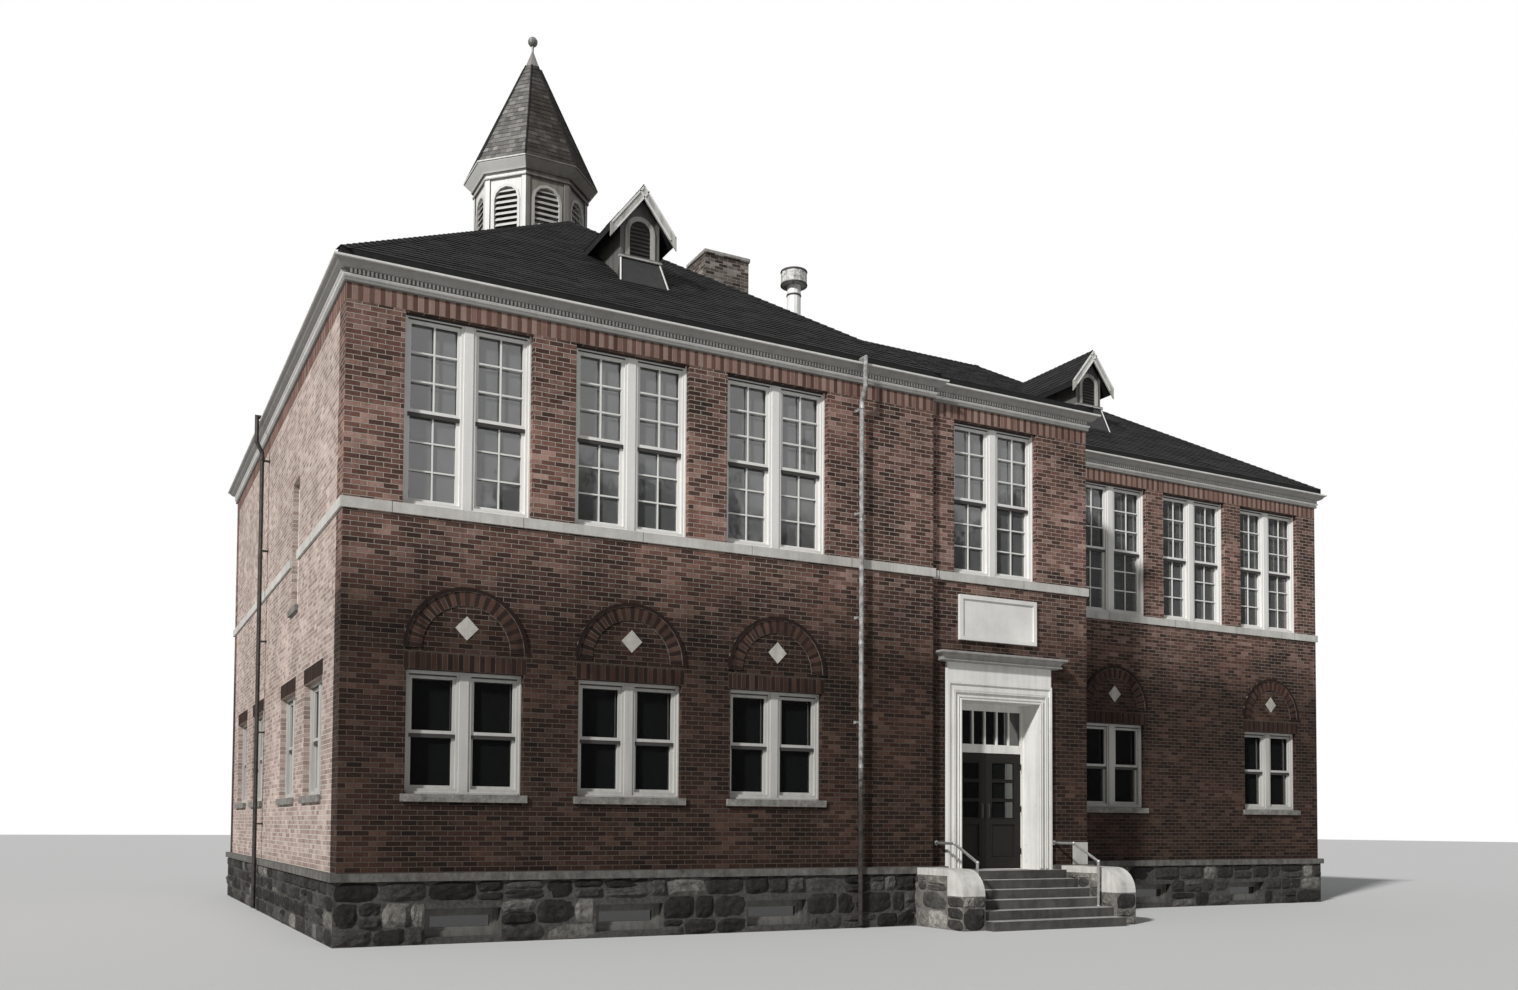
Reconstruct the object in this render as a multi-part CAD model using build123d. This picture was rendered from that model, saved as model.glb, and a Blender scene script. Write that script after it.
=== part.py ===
from build123d import *
from math import cos, radians, sin, tan
import os

# A two-storey brick schoolhouse on a raised stone basement, in millimetres.
# Plan: a left wing, an entrance bay almost flush with it, and a main block set back behind the bay.
# While it is drawn, x runs right from the left wall, y runs back from the left wing's front face and
# z runs up from the lowest ground. The finished pieces are moved to the middle of the whole building.

# Plan sizes
LEFT_WING_WIDTH = 9600
LEFT_WING_DEPTH = 13500
ENTRANCE_WIDTH = 3500
ENTRANCE_SETBACK = 120
MAIN_LENGTH = 8400
MAIN_FRONT_SETBACK = 1850
MAIN_BACK_SETBACK = 1250
WALL = 450
FOUNDATION_WALL = 520
FOUNDATION_PROUD = 40

# Levels above the lowest ground
FLOOR_LEVEL = 900
WATER_TABLE_TOP = 970
LOWER_SILL = 2040
LOWER_HEAD = 3740
ARCH_SPRING = 4040
BELT_BOTTOM = 5840
UPPER_HEAD = 8650
SOLDIER_HEIGHT = 234

# Courses that run round the walls
WATER_TABLE_HEIGHT = 110
WATER_TABLE_PROUD = 90
BELT_HEIGHT = 145
BELT_PROUD = 35
CORNICE_BED = 95
CORNICE_FRIEZE = 95
CORNICE_CROWN = 96
BED_PROUD = 45
FRIEZE_PROUD = 60
CROWN_FOOT_PROUD = 110
CORNICE_PROUD = 195

# Floors
FLOOR_THICKNESS = 260
BASEMENT_SLAB = 100
ATTIC_FLOOR_THICKNESS = 220

# Roofs
ROOF_OVERHANG = 100
ROOF_EDGE = 120
ROOF_DEPTH = 260
RIDGE_RISE = 3550
MAIN_HIP_RUN = 5650
ENTRANCE_ROOF_PITCH = 12
ENTRANCE_ROOF_DEPTH = 150

# Window openings
UPPER_WIDTH = 1810
LOWER_WIDTH = 1640
BASEMENT_WIDTH = 1060
BASEMENT_SILL = 90
BASEMENT_HEAD = 480
FIRST_WINDOW = 1690
WINDOW_PITCH = 2460
BAY_WINDOW_AT = 1430
LAST_MAIN_WINDOW = 1490
MAIN_WINDOW_PITCH = 2285
MAIN_BASEMENT_FROM_END = (2310, 5080)
SIDE_WINDOWS_AT = (2190, 4790, 8820, 11480)
FIRST_BACK_WINDOW = 2200
BACK_WINDOW_PITCH = 2600
FIRST_MAIN_BACK_WINDOW = 1800
MAIN_BACK_PITCH = 2770
FIRST_END_WINDOW = 2400
END_WINDOW_PITCH = 2800
STAIR_WINDOW_WIDTH = 720
STAIR_WINDOW_BOTTOM = 5120
STAIR_WINDOW_TOP = 7220
STAIR_WINDOW_AT = 4250

# Window frames and sashes
REVEAL = 110
FRAME_DEPTH = 130
FRAME_FACE = 65
FRAME_SILL = 80
MULLION = 210
SASH_SETBACK = 25
SASH_THICKNESS = 36
SASH_FACE = 45
GLASS = 8

# Stone sills, blind arches and lozenges of the lower windows
SILL_HEIGHT = 105
SILL_PAST = 60
SILL_PROUD = 50
ARCH_INNER = 620
ARCH_RING = 200
ARCH_PROUD = 10
HOOD_RING = 55
HOOD_RING_PROUD = 28
ARCH_FACETS = 12
LOZENGE_WIDTH = 326
LOZENGE_HEIGHT = 338
LOZENGE_ABOVE_SPRING = 305
LOZENGE_PROUD = 8

# Entrance
DOOR_CENTRE_IN_BAY = 1480
OPENING_WIDTH = 1710
OPENING_TOP = 3800
LINING = 40
SURROUND_FACE = 285
SURROUND_HEAD = 320
SURROUND_PROUD = 80
SURROUND_PLAIN_PROUD = 55
SURROUND_MOULDING = 45
SURROUND_TOP = 4440
DOOR_RECESS = 370
DOOR_FRAME = 60
DOOR_HEAD = 120
FRAME_BEHIND = 80
DOOR_TOP = 2940
DOOR_THICKNESS = 50
DOOR_EDGE_GAP = 5
DOOR_MEETING_GAP = 12
DOOR_UNDERCUT = 10
DOOR_STILE = 140
DOOR_TOP_RAIL = 170
DOOR_LIGHTS = 3
DOOR_LIGHT_HEIGHT = 290
DOOR_LIGHT_BAR = 50
DOOR_PANEL_RAIL = 120
DOOR_BOTTOM_RAIL = 220
DOOR_PANEL_SINK = 14
HINGE_RADIUS = 9
HINGE_GAP = 1
HINGE_LENGTH = 110
HINGE_FOOT = 45
HINGE_FLAP = 4
HINGE_FLAP_WIDTH = 60
HINGE_LEVELS = (1150, 1900, 2650)
TRANSOM_BAR = 150
TRANSOM_BARS = 5
TRANSOM_BAR_FACE = 30
HOOD_HEIGHT = 175
HOOD_REACH = 240
HOOD_PAST = 240
TABLET_WIDTH = 1685
TABLET_HEIGHT = 780
TABLET_LEFT_OF_DOOR = 28
TABLET_BOTTOM = 4840
TABLET_PROUD = 60
TABLET_BORDER = 70
TABLET_SINK = 25
CORNERSTONE_WIDTH = 340
CORNERSTONE_HEIGHT = 400
CORNERSTONE_DEPTH = 200
CORNERSTONE_PROUD = 8

# Steps, cheek walls and handrails
RISERS = 6
TREAD = 290
LANDING_DEPTH = 140
LANDING_DROP = 10
CHEEK_WIDTH = 430
STEPS_CLEAR_WIDTH = 2770
STEPS_OFFSET = -45
CHEEK_REACH = 1410
COPING_RADIUS = 420
COPING_TOP = 960
COPING_CAP = 110
COPING_FACETS = 8
RAIL_RADIUS = 24
RAIL_INSET = 100
RAIL_TOP = 1360
RAIL_LOW = 1060
RAIL_LEVEL_RUN = 510
RAIL_FOOT_RUN = 1120

# Dormers
DORMER_WIDTH = 690
DORMER_WALL = 70
DORMER_OPENING = 370
DORMER_OPENING_HEIGHT = 610
DORMER_EAVES_ABOVE_SILL = 595
DORMER_PITCH = 52
DORMER_EAVE_REACH = 235
DORMER_FRONT_REACH = 150
DORMER_ROOF = 70
DORMER_RAKE = 140
DORMER_RAKE_THICKNESS = 25
DORMER_SILL_BOARD = 45
DORMER_SILL_PROUD = 50
DORMER_SILL_PAST = 25
APRON_TOP_PROUD = 25
APRON_FOOT_PROUD = 215
APRON_FLARE = 70
DORMER_GLASS = 8
DORMER_FOOT = 400
DORMER_RUN = 3000
DORMER_ARCH_FACETS = 8
LEFT_DORMER_AT = 4880
RIGHT_DORMER_AT = 16200
LEFT_DORMER_BACK = 1600
RIGHT_DORMER_BACK = 3400
LEFT_DORMER_SILL_ABOVE_ROOF = 370
RIGHT_DORMER_SILL_ABOVE_ROOF = 445

# Cupola
CUPOLA_X = 4800
CUPOLA_Y = 7200
CUPOLA_SIDES = 8
DRUM_ACROSS = 2110
DRUM_WALL = 90
DRUM_BELOW_RIDGE = 900
DRUM_ABOVE_RIDGE = 1550
DRUM_FRIEZE = 110
CORNER_POST = 90
DRUM_PANEL_SINK = 25
LOUVRE_WIDTH = 610
LOUVRE_ABOVE_RIDGE = 310
LOUVRE_SIDE_HEIGHT = 695
LOUVRE_FRAME = 55
LOUVRE_FRAME_PROUD = 15
LOUVRE_FACETS = 6
SLATS = 8
SLAT = 14
SLAT_SETBACK = 12
EAVE_FOOT_ACROSS = 2160
EAVE_ACROSS = 2450
EAVE_FLARE = 140
EAVE_FASCIA = 40
SPIRE_HEIGHT = 2810
SPIRE_CAP = 350
FINIAL_ROD = 22
FINIAL_BALL = 100
FINIAL_HEIGHT = 220
FINIAL_SIDES = 12

# Chimney, vent pipe and downspouts
CHIMNEY_X = 9120
CHIMNEY_Y = 7350
CHIMNEY_WIDTH = 1050
CHIMNEY_DEPTH = 900
CHIMNEY_ABOVE_RIDGE = 1180
CHIMNEY_CAP = 70
CHIMNEY_CAP_PROUD = 25
FLUE_WIDTH = 600
FLUE_DEPTH = 450
VENT_X = 10050
VENT_Y = 5600
VENT_RADIUS = 145
VENT_ABOVE_RIDGE = 190
VENT_CAP_RADIUS = 275
VENT_CAP_HEIGHT = 290
VENT_SIDES = 12
SPOUT_RADIUS = 38
SPOUT_CLEARANCE = 8
SPOUT_FOOT = 60
SPOUT_BEND_BELOW = 330
SPOUT_SWEEP = 210
SPOUT_BELOW_EAVE = 60
FRONT_SPOUT_AT = 8080
SIDE_SPOUT_AT = 7800
BRACKET = 30
BRACKETS = 5
BRACKET_ABOVE_WATER_TABLE = 630
BRACKET_BELOW_CORNICE = 484
PIPE_SIDES = 8

# Derived places
BAY_RIGHT = LEFT_WING_WIDTH + ENTRANCE_WIDTH
RIGHT_END = BAY_RIGHT + MAIN_LENGTH
MAIN_BACK = LEFT_WING_DEPTH - MAIN_BACK_SETBACK
CORNICE_BOTTOM = UPPER_HEAD + SOLDIER_HEIGHT
WALL_TOP = CORNICE_BOTTOM + CORNICE_BED + CORNICE_FRIEZE + CORNICE_CROWN
EAVE_TOP = WALL_TOP + ROOF_EDGE
RIDGE_Z = EAVE_TOP + RIDGE_RISE
DRUM_TOP = RIDGE_Z + DRUM_ABOVE_RIDGE
LOUVRE_BOTTOM = RIDGE_Z + LOUVRE_ABOVE_RIDGE
LOUVRE_SPRING = LOUVRE_BOTTOM + LOUVRE_SIDE_HEIGHT
CHIMNEY_TOP = RIDGE_Z + CHIMNEY_ABOVE_RIDGE
VENT_TOP = RIDGE_Z + VENT_ABOVE_RIDGE
WATER_TABLE_BOTTOM = WATER_TABLE_TOP - WATER_TABLE_HEIGHT
BELT_TOP = BELT_BOTTOM + BELT_HEIGHT
DOOR_CENTRE = LEFT_WING_WIDTH + DOOR_CENTRE_IN_BAY
SURROUND_HALF = OPENING_WIDTH / 2 + SURROUND_FACE
LANDING_TOP = FLOOR_LEVEL - LANDING_DROP
RISER = LANDING_TOP / RISERS
LANDING_FRONT = ENTRANCE_SETBACK - SURROUND_PROUD - LANDING_DEPTH
STEPS_FRONT = LANDING_FRONT - (RISERS - 1) * TREAD
STEPS_LEFT = DOOR_CENTRE + STEPS_OFFSET - STEPS_CLEAR_WIDTH / 2
STEPS_RIGHT = STEPS_LEFT + STEPS_CLEAR_WIDTH
CHEEK_FRONT = ENTRANCE_SETBACK - FOUNDATION_PROUD - CHEEK_REACH
SPIRE_FOOT = DRUM_TOP + EAVE_FLARE + EAVE_FASCIA
SPIRE_TOP = SPIRE_FOOT + SPIRE_HEIGHT

# The building's own origin: the middle of everything, on the lowest ground
LEFTMOST = -CORNICE_PROUD - SPOUT_CLEARANCE - 2 * SPOUT_RADIUS
RIGHTMOST = RIGHT_END + CORNICE_PROUD
BACKMOST = LEFT_WING_DEPTH + CORNICE_PROUD
FRONTMOST = STEPS_FRONT
CENTRE_X = (LEFTMOST + RIGHTMOST) / 2
CENTRE_Y = (FRONTMOST + BACKMOST) / 2

os.makedirs("parts", exist_ok=True)


def save(name, *shapes):
    """Write one sub-part, moved to the building's own origin."""
    solids = [solid for shape in shapes for solid in shape.solids()]
    placed = [solid.moved(Location((-CENTRE_X, -CENTRE_Y, 0))) for solid in solids]
    export_step(placed[0] if len(placed) == 1 else Compound(children=placed), f"parts/{name}.step")


def block(x0, x1, y0, y1, z0, z1):
    """A plain box between two corners."""
    return Solid.make_box(x1 - x0, y1 - y0, z1 - z0).moved(Location((x0, y0, z0)))


def prism_along_x(points, x0, x1):
    """A (y, z) outline pushed from x0 to x1."""
    plane = Plane((x0, 0, 0), x_dir=(0, 1, 0), z_dir=(1, 0, 0))
    return extrude(plane * make_face(Polyline(*points, close=True)), x1 - x0)


def prism_along_y(points, y0, y1):
    """An (x, z) outline pushed from y0 to y1."""
    plane = Plane((0, y0, 0), x_dir=(1, 0, 0), z_dir=(0, -1, 0))
    return extrude(plane * make_face(Polyline(*points, close=True)), y0 - y1)


def arc(x, z, radius, start, end, count):
    """Points along part of a circle, by angles from the right, for an outline made of short flats."""
    turns = [radians(start + (end - start) * i / count) for i in range(count + 1)]
    return [(x + radius * cos(turn), z + radius * sin(turn)) for turn in turns]


def arch(x, width, low, spring, count):
    """The outline of an opening with a round head."""
    return [(x - width / 2, low), (x + width / 2, low)] + arc(x, spring, width / 2, 0, 180, count)


def turned(x, y, profile, sides, turn=0):
    """An upright many-sided solid from (radius, z) pairs, each ring joined to the next by flat faces."""
    rings = []
    for radius, z in profile:
        angles = [radians(turn + 360 * i / sides) for i in range(sides)]
        rings.append([(x + radius * cos(a), y + radius * sin(a), z) for a in angles])
    faces = [Face(Wire.make_polygon(rings[0])), Face(Wire.make_polygon(rings[-1]))]
    for low, high in zip(rings, rings[1:]):
        for i in range(sides):
            j = (i + 1) % sides
            faces.append(Face(Wire.make_polygon([low[i], low[j], high[j], high[i]])))
    return Solid(Shell(faces))


def footprint(grow, z0, z1):
    """The building's plan, grown outwards or shrunk, between two levels."""
    inside = LEFT_WING_WIDTH / 2
    wing = block(-grow, LEFT_WING_WIDTH + grow, -grow, LEFT_WING_DEPTH + grow, z0, z1)
    bay = block(inside, BAY_RIGHT + grow, ENTRANCE_SETBACK - grow, MAIN_BACK / 2, z0, z1)
    main = block(inside, RIGHT_END + grow, MAIN_FRONT_SETBACK - grow, MAIN_BACK + grow, z0, z1)
    return wing + bay + main


class Side:
    """One outside wall face, with u running along it and depth running into the wall."""

    def __init__(self, along, face, inward):
        self.along, self.face, self.inward = along, face, inward

    def box(self, u0, u1, d0, d1, z0, z1):
        """A box from u0 to u1 along the face and from depth d0 to d1 behind it."""
        near, far = sorted((self.face + self.inward * d0, self.face + self.inward * d1))
        if self.along == "x":
            return block(u0, u1, near, far, z0, z1)
        return block(near, far, u0, u1, z0, z1)


FRONT_LEFT = Side("x", 0, 1)
FRONT_BAY = Side("x", ENTRANCE_SETBACK, 1)
FRONT_MAIN = Side("x", MAIN_FRONT_SETBACK, 1)
BACK_LEFT = Side("x", LEFT_WING_DEPTH, -1)
BACK_MAIN = Side("x", MAIN_BACK, -1)
SIDE_LEFT = Side("y", 0, 1)
SIDE_RIGHT = Side("y", RIGHT_END, -1)
SIDE_BAY = Side("y", BAY_RIGHT, -1)
SIDE_RETURN = Side("y", LEFT_WING_WIDTH, -1)

# Window rows, by their centres along each wall
LEFT_FRONT_ROW = [FIRST_WINDOW + i * WINDOW_PITCH for i in range(3)]
MAIN_FRONT_ROW = [RIGHT_END - LAST_MAIN_WINDOW - i * MAIN_WINDOW_PITCH for i in range(3)]
MAIN_BASEMENT_ROW = [RIGHT_END - back for back in MAIN_BASEMENT_FROM_END]
BACK_ROW = [FIRST_BACK_WINDOW + i * BACK_WINDOW_PITCH for i in range(3)]
MAIN_BACK_ROW = [LEFT_WING_WIDTH + FIRST_MAIN_BACK_WINDOW + i * MAIN_BACK_PITCH for i in range(4)]
END_ROW = [MAIN_FRONT_SETBACK + FIRST_END_WINDOW + i * END_WINDOW_PITCH for i in range(3)]
BAY_WINDOW = LEFT_WING_WIDTH + BAY_WINDOW_AT

# Each glazed opening: its side, centre, width, sill and head
UPPER = []
LOWER = []
BASEMENT = []
for side, upper_row, lower_row, basement_row in (
        (FRONT_LEFT, LEFT_FRONT_ROW, LEFT_FRONT_ROW, LEFT_FRONT_ROW),
        (FRONT_BAY, [BAY_WINDOW], [], []),
        (FRONT_MAIN, MAIN_FRONT_ROW, [MAIN_FRONT_ROW[0], MAIN_FRONT_ROW[2]], MAIN_BASEMENT_ROW),
        (SIDE_LEFT, [], SIDE_WINDOWS_AT, []),
        (BACK_LEFT, BACK_ROW, BACK_ROW, []),
        (BACK_MAIN, MAIN_BACK_ROW, MAIN_BACK_ROW, []),
        (SIDE_RIGHT, END_ROW, END_ROW, [])):
    UPPER += [(side, u, UPPER_WIDTH, BELT_TOP, UPPER_HEAD) for u in upper_row]
    LOWER += [(side, u, LOWER_WIDTH, LOWER_SILL, LOWER_HEAD) for u in lower_row]
    BASEMENT += [(side, u, BASEMENT_WIDTH, BASEMENT_SILL, BASEMENT_HEAD) for u in basement_row]
STAIR = [(SIDE_LEFT, STAIR_WINDOW_AT, STAIR_WINDOW_WIDTH, STAIR_WINDOW_BOTTOM, STAIR_WINDOW_TOP)]
ARCHED = [window for window in LOWER if window[0] in (FRONT_LEFT, FRONT_MAIN)]


def cut_windows(wall, side, windows, front, back):
    """Cut a side's windows through a wall that reaches from depth front to depth back."""
    for at, u, width, low, high in windows:
        if at is side:
            wall -= side.box(u - width / 2, u + width / 2, front - 1, back + 1, low, high)
    return wall


def build_foundation():
    """Rubble basement walls under the three parts of the plan."""
    front, back = -FOUNDATION_PROUD, FOUNDATION_WALL - FOUNDATION_PROUD

    def run(side, u0, u1):
        return cut_windows(side.box(u0, u1, front, back, 0, WATER_TABLE_BOTTOM), side, BASEMENT, front, back)

    p = FOUNDATION_PROUD
    left = run(FRONT_LEFT, -p, LEFT_WING_WIDTH + p) + run(SIDE_LEFT, back, LEFT_WING_DEPTH - back)
    left += run(BACK_LEFT, -p, LEFT_WING_WIDTH + p)
    left += run(SIDE_RETURN, MAIN_BACK + p, LEFT_WING_DEPTH - back)
    save("foundation_left_wing", left)
    main = run(FRONT_MAIN, BAY_RIGHT + p, RIGHT_END + p)
    main += run(SIDE_RIGHT, MAIN_FRONT_SETBACK + back, MAIN_BACK - back)
    main += run(BACK_MAIN, LEFT_WING_WIDTH - back, RIGHT_END + p)
    bay = run(FRONT_BAY, LEFT_WING_WIDTH + p, BAY_RIGHT + p)
    bay += run(SIDE_BAY, ENTRANCE_SETBACK + back, MAIN_FRONT_SETBACK + back)
    save("foundation_main", main + bay)


def doorway(front, back, low, high, half):
    """Room for the doorway, centred in the entrance bay."""
    return FRONT_BAY.box(DOOR_CENTRE - half, DOOR_CENTRE + half, front, back, low, high)


def build_courses():
    """Water table, belt course and moulded cornice, which run round the whole building."""
    ring = footprint(WATER_TABLE_PROUD, WATER_TABLE_BOTTOM, WATER_TABLE_TOP)
    ring -= footprint(-WALL, WATER_TABLE_BOTTOM, WATER_TABLE_TOP)
    ring -= doorway(-WATER_TABLE_PROUD, 0, WATER_TABLE_BOTTOM, WATER_TABLE_TOP, SURROUND_HALF)
    ring -= doorway(0, WALL, WATER_TABLE_BOTTOM, WATER_TABLE_TOP, OPENING_WIDTH / 2 + LINING)
    save("water_table", ring)

    belt = footprint(BELT_PROUD, BELT_BOTTOM, BELT_TOP) - footprint(0, BELT_BOTTOM, BELT_TOP)
    side, u, width, _, _ = STAIR[0]
    belt -= side.box(u - width / 2, u + width / 2, -BELT_PROUD, 0, BELT_BOTTOM, BELT_TOP)
    save("belt_course", belt)

    levels = [CORNICE_BOTTOM, CORNICE_BOTTOM + CORNICE_BED, CORNICE_BOTTOM + CORNICE_BED + CORNICE_FRIEZE]
    cornice = footprint(BED_PROUD, levels[0], levels[1]) + footprint(FRIEZE_PROUD, levels[1], levels[2])
    steps = 4
    for i in range(steps):
        share = (i + 1) / steps
        reach = CROWN_FOOT_PROUD + (CORNICE_PROUD - CROWN_FOOT_PROUD) * sin(radians(90 * share))
        low = levels[2] + CORNICE_CROWN * i / steps
        cornice += footprint(reach, low, levels[2] + CORNICE_CROWN * share)
    cornice -= footprint(0, CORNICE_BOTTOM, WALL_TOP)
    save("cornice", cornice)


def brick_wall(side, u0, u1, low=WATER_TABLE_TOP):
    """A straight wall with its windows cut through."""
    wall = side.box(u0, u1, 0, WALL, low, WALL_TOP)
    return cut_windows(wall, side, UPPER + LOWER + STAIR, 0, WALL)


def build_walls():
    """Brick walls, split beside and over the doorway."""
    save("left_wing_front_wall", brick_wall(FRONT_LEFT, 0, LEFT_WING_WIDTH))
    save("left_wing_side_wall", brick_wall(SIDE_LEFT, WALL, LEFT_WING_DEPTH - WALL))
    save("left_wing_back_wall", brick_wall(BACK_LEFT, 0, LEFT_WING_WIDTH)
         + brick_wall(SIDE_RETURN, MAIN_BACK, LEFT_WING_DEPTH - WALL))
    save("main_front_wall", brick_wall(FRONT_MAIN, BAY_RIGHT, RIGHT_END))
    save("main_end_wall", brick_wall(SIDE_RIGHT, MAIN_FRONT_SETBACK + WALL, MAIN_BACK - WALL))
    save("main_back_wall", brick_wall(BACK_MAIN, LEFT_WING_WIDTH - WALL, RIGHT_END))

    half = OPENING_WIDTH / 2 + LINING
    low, high = WATER_TABLE_TOP, OPENING_TOP + LINING
    stone = cornerstone()
    save("entrance_left_pier", FRONT_BAY.box(LEFT_WING_WIDTH, DOOR_CENTRE - half, 0, WALL, low, high))
    save("entrance_right_pier", FRONT_BAY.box(DOOR_CENTRE + half, BAY_RIGHT, 0, WALL, low, high) - stone)
    save("entrance_upper_wall", brick_wall(FRONT_BAY, LEFT_WING_WIDTH, BAY_RIGHT, high))
    save("entrance_side_wall", brick_wall(SIDE_BAY, ENTRANCE_SETBACK + WALL, MAIN_FRONT_SETBACK + WALL))
    save("cornerstone", stone)


def cornerstone():
    """A pale block at the foot of the bay's right corner, a little proud of both faces."""
    p = CORNERSTONE_PROUD
    return block(BAY_RIGHT - CORNERSTONE_WIDTH, BAY_RIGHT + p, ENTRANCE_SETBACK - p,
                 ENTRANCE_SETBACK + CORNERSTONE_DEPTH, WATER_TABLE_TOP, WATER_TABLE_TOP + CORNERSTONE_HEIGHT)


def build_floors():
    """Basement slab, two floors and the attic floor, one open space each, with no partitions."""
    inside = FOUNDATION_PROUD - FOUNDATION_WALL
    save("basement_floor", footprint(inside, 0, BASEMENT_SLAB))
    save("ground_floor", footprint(inside, FLOOR_LEVEL - FLOOR_THICKNESS, FLOOR_LEVEL))
    save("upper_floor", footprint(-WALL, BELT_BOTTOM - FLOOR_THICKNESS, BELT_BOTTOM))
    save("attic_floor", footprint(-WALL, WALL_TOP - ATTIC_FLOOR_THICKNESS, WALL_TOP))


def wing_roof(drop=0):
    """The left wing's roof: hipped at the front and the back, with its ridge running back."""
    x0, x1 = -ROOF_OVERHANG, LEFT_WING_WIDTH + ROOF_OVERHANG
    y0, y1 = -ROOF_OVERHANG, LEFT_WING_DEPTH + ROOF_OVERHANG
    run = (x1 - x0) / 2
    top, edge, low = RIDGE_Z - drop, EAVE_TOP - drop, WALL_TOP
    cut = run * (low - edge) / RIDGE_RISE if edge < low else 0
    foot = [(low, 0)] if cut else [(low, 0), (edge, 0)]
    left = [(x0 + cut, z) for z, _ in foot]
    right = [(x1 - cut, z) for z, _ in reversed(foot)]
    across = left + [((x0 + x1) / 2, top)] + right
    front = [(y0 + cut, z) for z, _ in foot]
    back = [(y1 - cut, z) for z, _ in reversed(foot)]
    along = front + [(y0 + run, top), (y1 - run, top)] + back
    return prism_along_y(across, y0, y1) & prism_along_x(along, x0, x1)


def main_roof(drop=0):
    """The main block's roof: its ridge runs right from the wing's ridge to a hip at the end."""
    x0, x1 = LEFT_WING_WIDTH / 2, RIGHT_END + ROOF_OVERHANG
    y0, y1 = MAIN_FRONT_SETBACK - ROOF_OVERHANG, MAIN_BACK + ROOF_OVERHANG
    run = (y1 - y0) / 2
    top, edge, low = RIDGE_Z - drop, EAVE_TOP - drop, WALL_TOP
    share = (low - edge) / RIDGE_RISE if edge < low else 0
    levels = [low] if share else [low, edge]
    cut = run * share
    across = [(y0 + cut, z) for z in levels] + [((y0 + y1) / 2, top)]
    across += [(y1 - cut, z) for z in reversed(levels)]
    hip_cut = MAIN_HIP_RUN * share
    along = [(x0, low), (x0, top), (x1 - MAIN_HIP_RUN, top)]
    along += [(x1 - hip_cut, z) for z in reversed(levels)]
    return prism_along_x(across, x0, x1) & prism_along_y(along, y0, y1)


def bay_roof(drop=0):
    """The entrance bay's low roof, hipped at its right end, that runs back into the main slope."""
    x0, x1 = LEFT_WING_WIDTH / 2, BAY_RIGHT + ROOF_OVERHANG
    y0, y1 = ENTRANCE_SETBACK - ROOF_OVERHANG, MAIN_BACK / 2
    slope = tan(radians(ENTRANCE_ROOF_PITCH))
    edge, low = EAVE_TOP - drop, WALL_TOP
    cut = (low - edge) / slope if edge < low else 0
    levels = [low] if cut else [low, edge]
    across = [(y0 + cut, z) for z in levels] + [(y1, edge + (y1 - y0) * slope), (y1, low)]
    along = [(x1 - cut, z) for z in levels] + [(x0, edge + (x1 - x0) * slope), (x0, low)]
    return prism_along_x(across, x0, x1) & prism_along_y(along, y0, y1)


def chimney_shaft(low, high, grow=0):
    """A box on the chimney's plan."""
    w, d = CHIMNEY_WIDTH / 2 + grow, CHIMNEY_DEPTH / 2 + grow
    return block(CHIMNEY_X - w, CHIMNEY_X + w, CHIMNEY_Y - d, CHIMNEY_Y + d, low, high)


def build_roofs():
    """Shingled roofs as shells, with the chimney's hole, and the chimney through them."""
    wing, main = wing_roof(), main_roof()
    shaft = chimney_shaft(WALL_TOP, CHIMNEY_TOP)
    save("left_wing_roof", wing - wing_roof(ROOF_DEPTH) - main_roof(ROOF_DEPTH) - shaft)
    save("main_roof", main - main_roof(ROOF_DEPTH) - wing - shaft)
    save("entrance_roof", bay_roof() - bay_roof(ENTRANCE_ROOF_DEPTH) - wing - main)
    chimney = shaft + chimney_shaft(CHIMNEY_TOP - CHIMNEY_CAP, CHIMNEY_TOP, CHIMNEY_CAP_PROUD)
    chimney -= block(CHIMNEY_X - FLUE_WIDTH / 2, CHIMNEY_X + FLUE_WIDTH / 2, CHIMNEY_Y - FLUE_DEPTH / 2,
                     CHIMNEY_Y + FLUE_DEPTH / 2, WALL_TOP, CHIMNEY_TOP)
    save("chimney", chimney)

    stem = turned(VENT_X, VENT_Y, [(VENT_RADIUS, WALL_TOP), (VENT_RADIUS, VENT_TOP)], VENT_SIDES)
    cap = [(VENT_CAP_RADIUS, VENT_TOP), (VENT_CAP_RADIUS, VENT_TOP + VENT_CAP_HEIGHT)]
    save("vent_pipe", (stem - main) + turned(VENT_X, VENT_Y, cap, VENT_SIDES))


def chevron(centre, reach, top, thick):
    """A roof-shaped outline on the dormer's pitch: its top line meets the middle at a level."""
    slope, up = tan(radians(DORMER_PITCH)), thick / cos(radians(DORMER_PITCH))
    tip = top - reach * slope
    return [(centre - reach, tip - up), (centre, top - up), (centre + reach, tip - up), (centre + reach, tip),
            (centre, top), (centre - reach, tip)]


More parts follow.
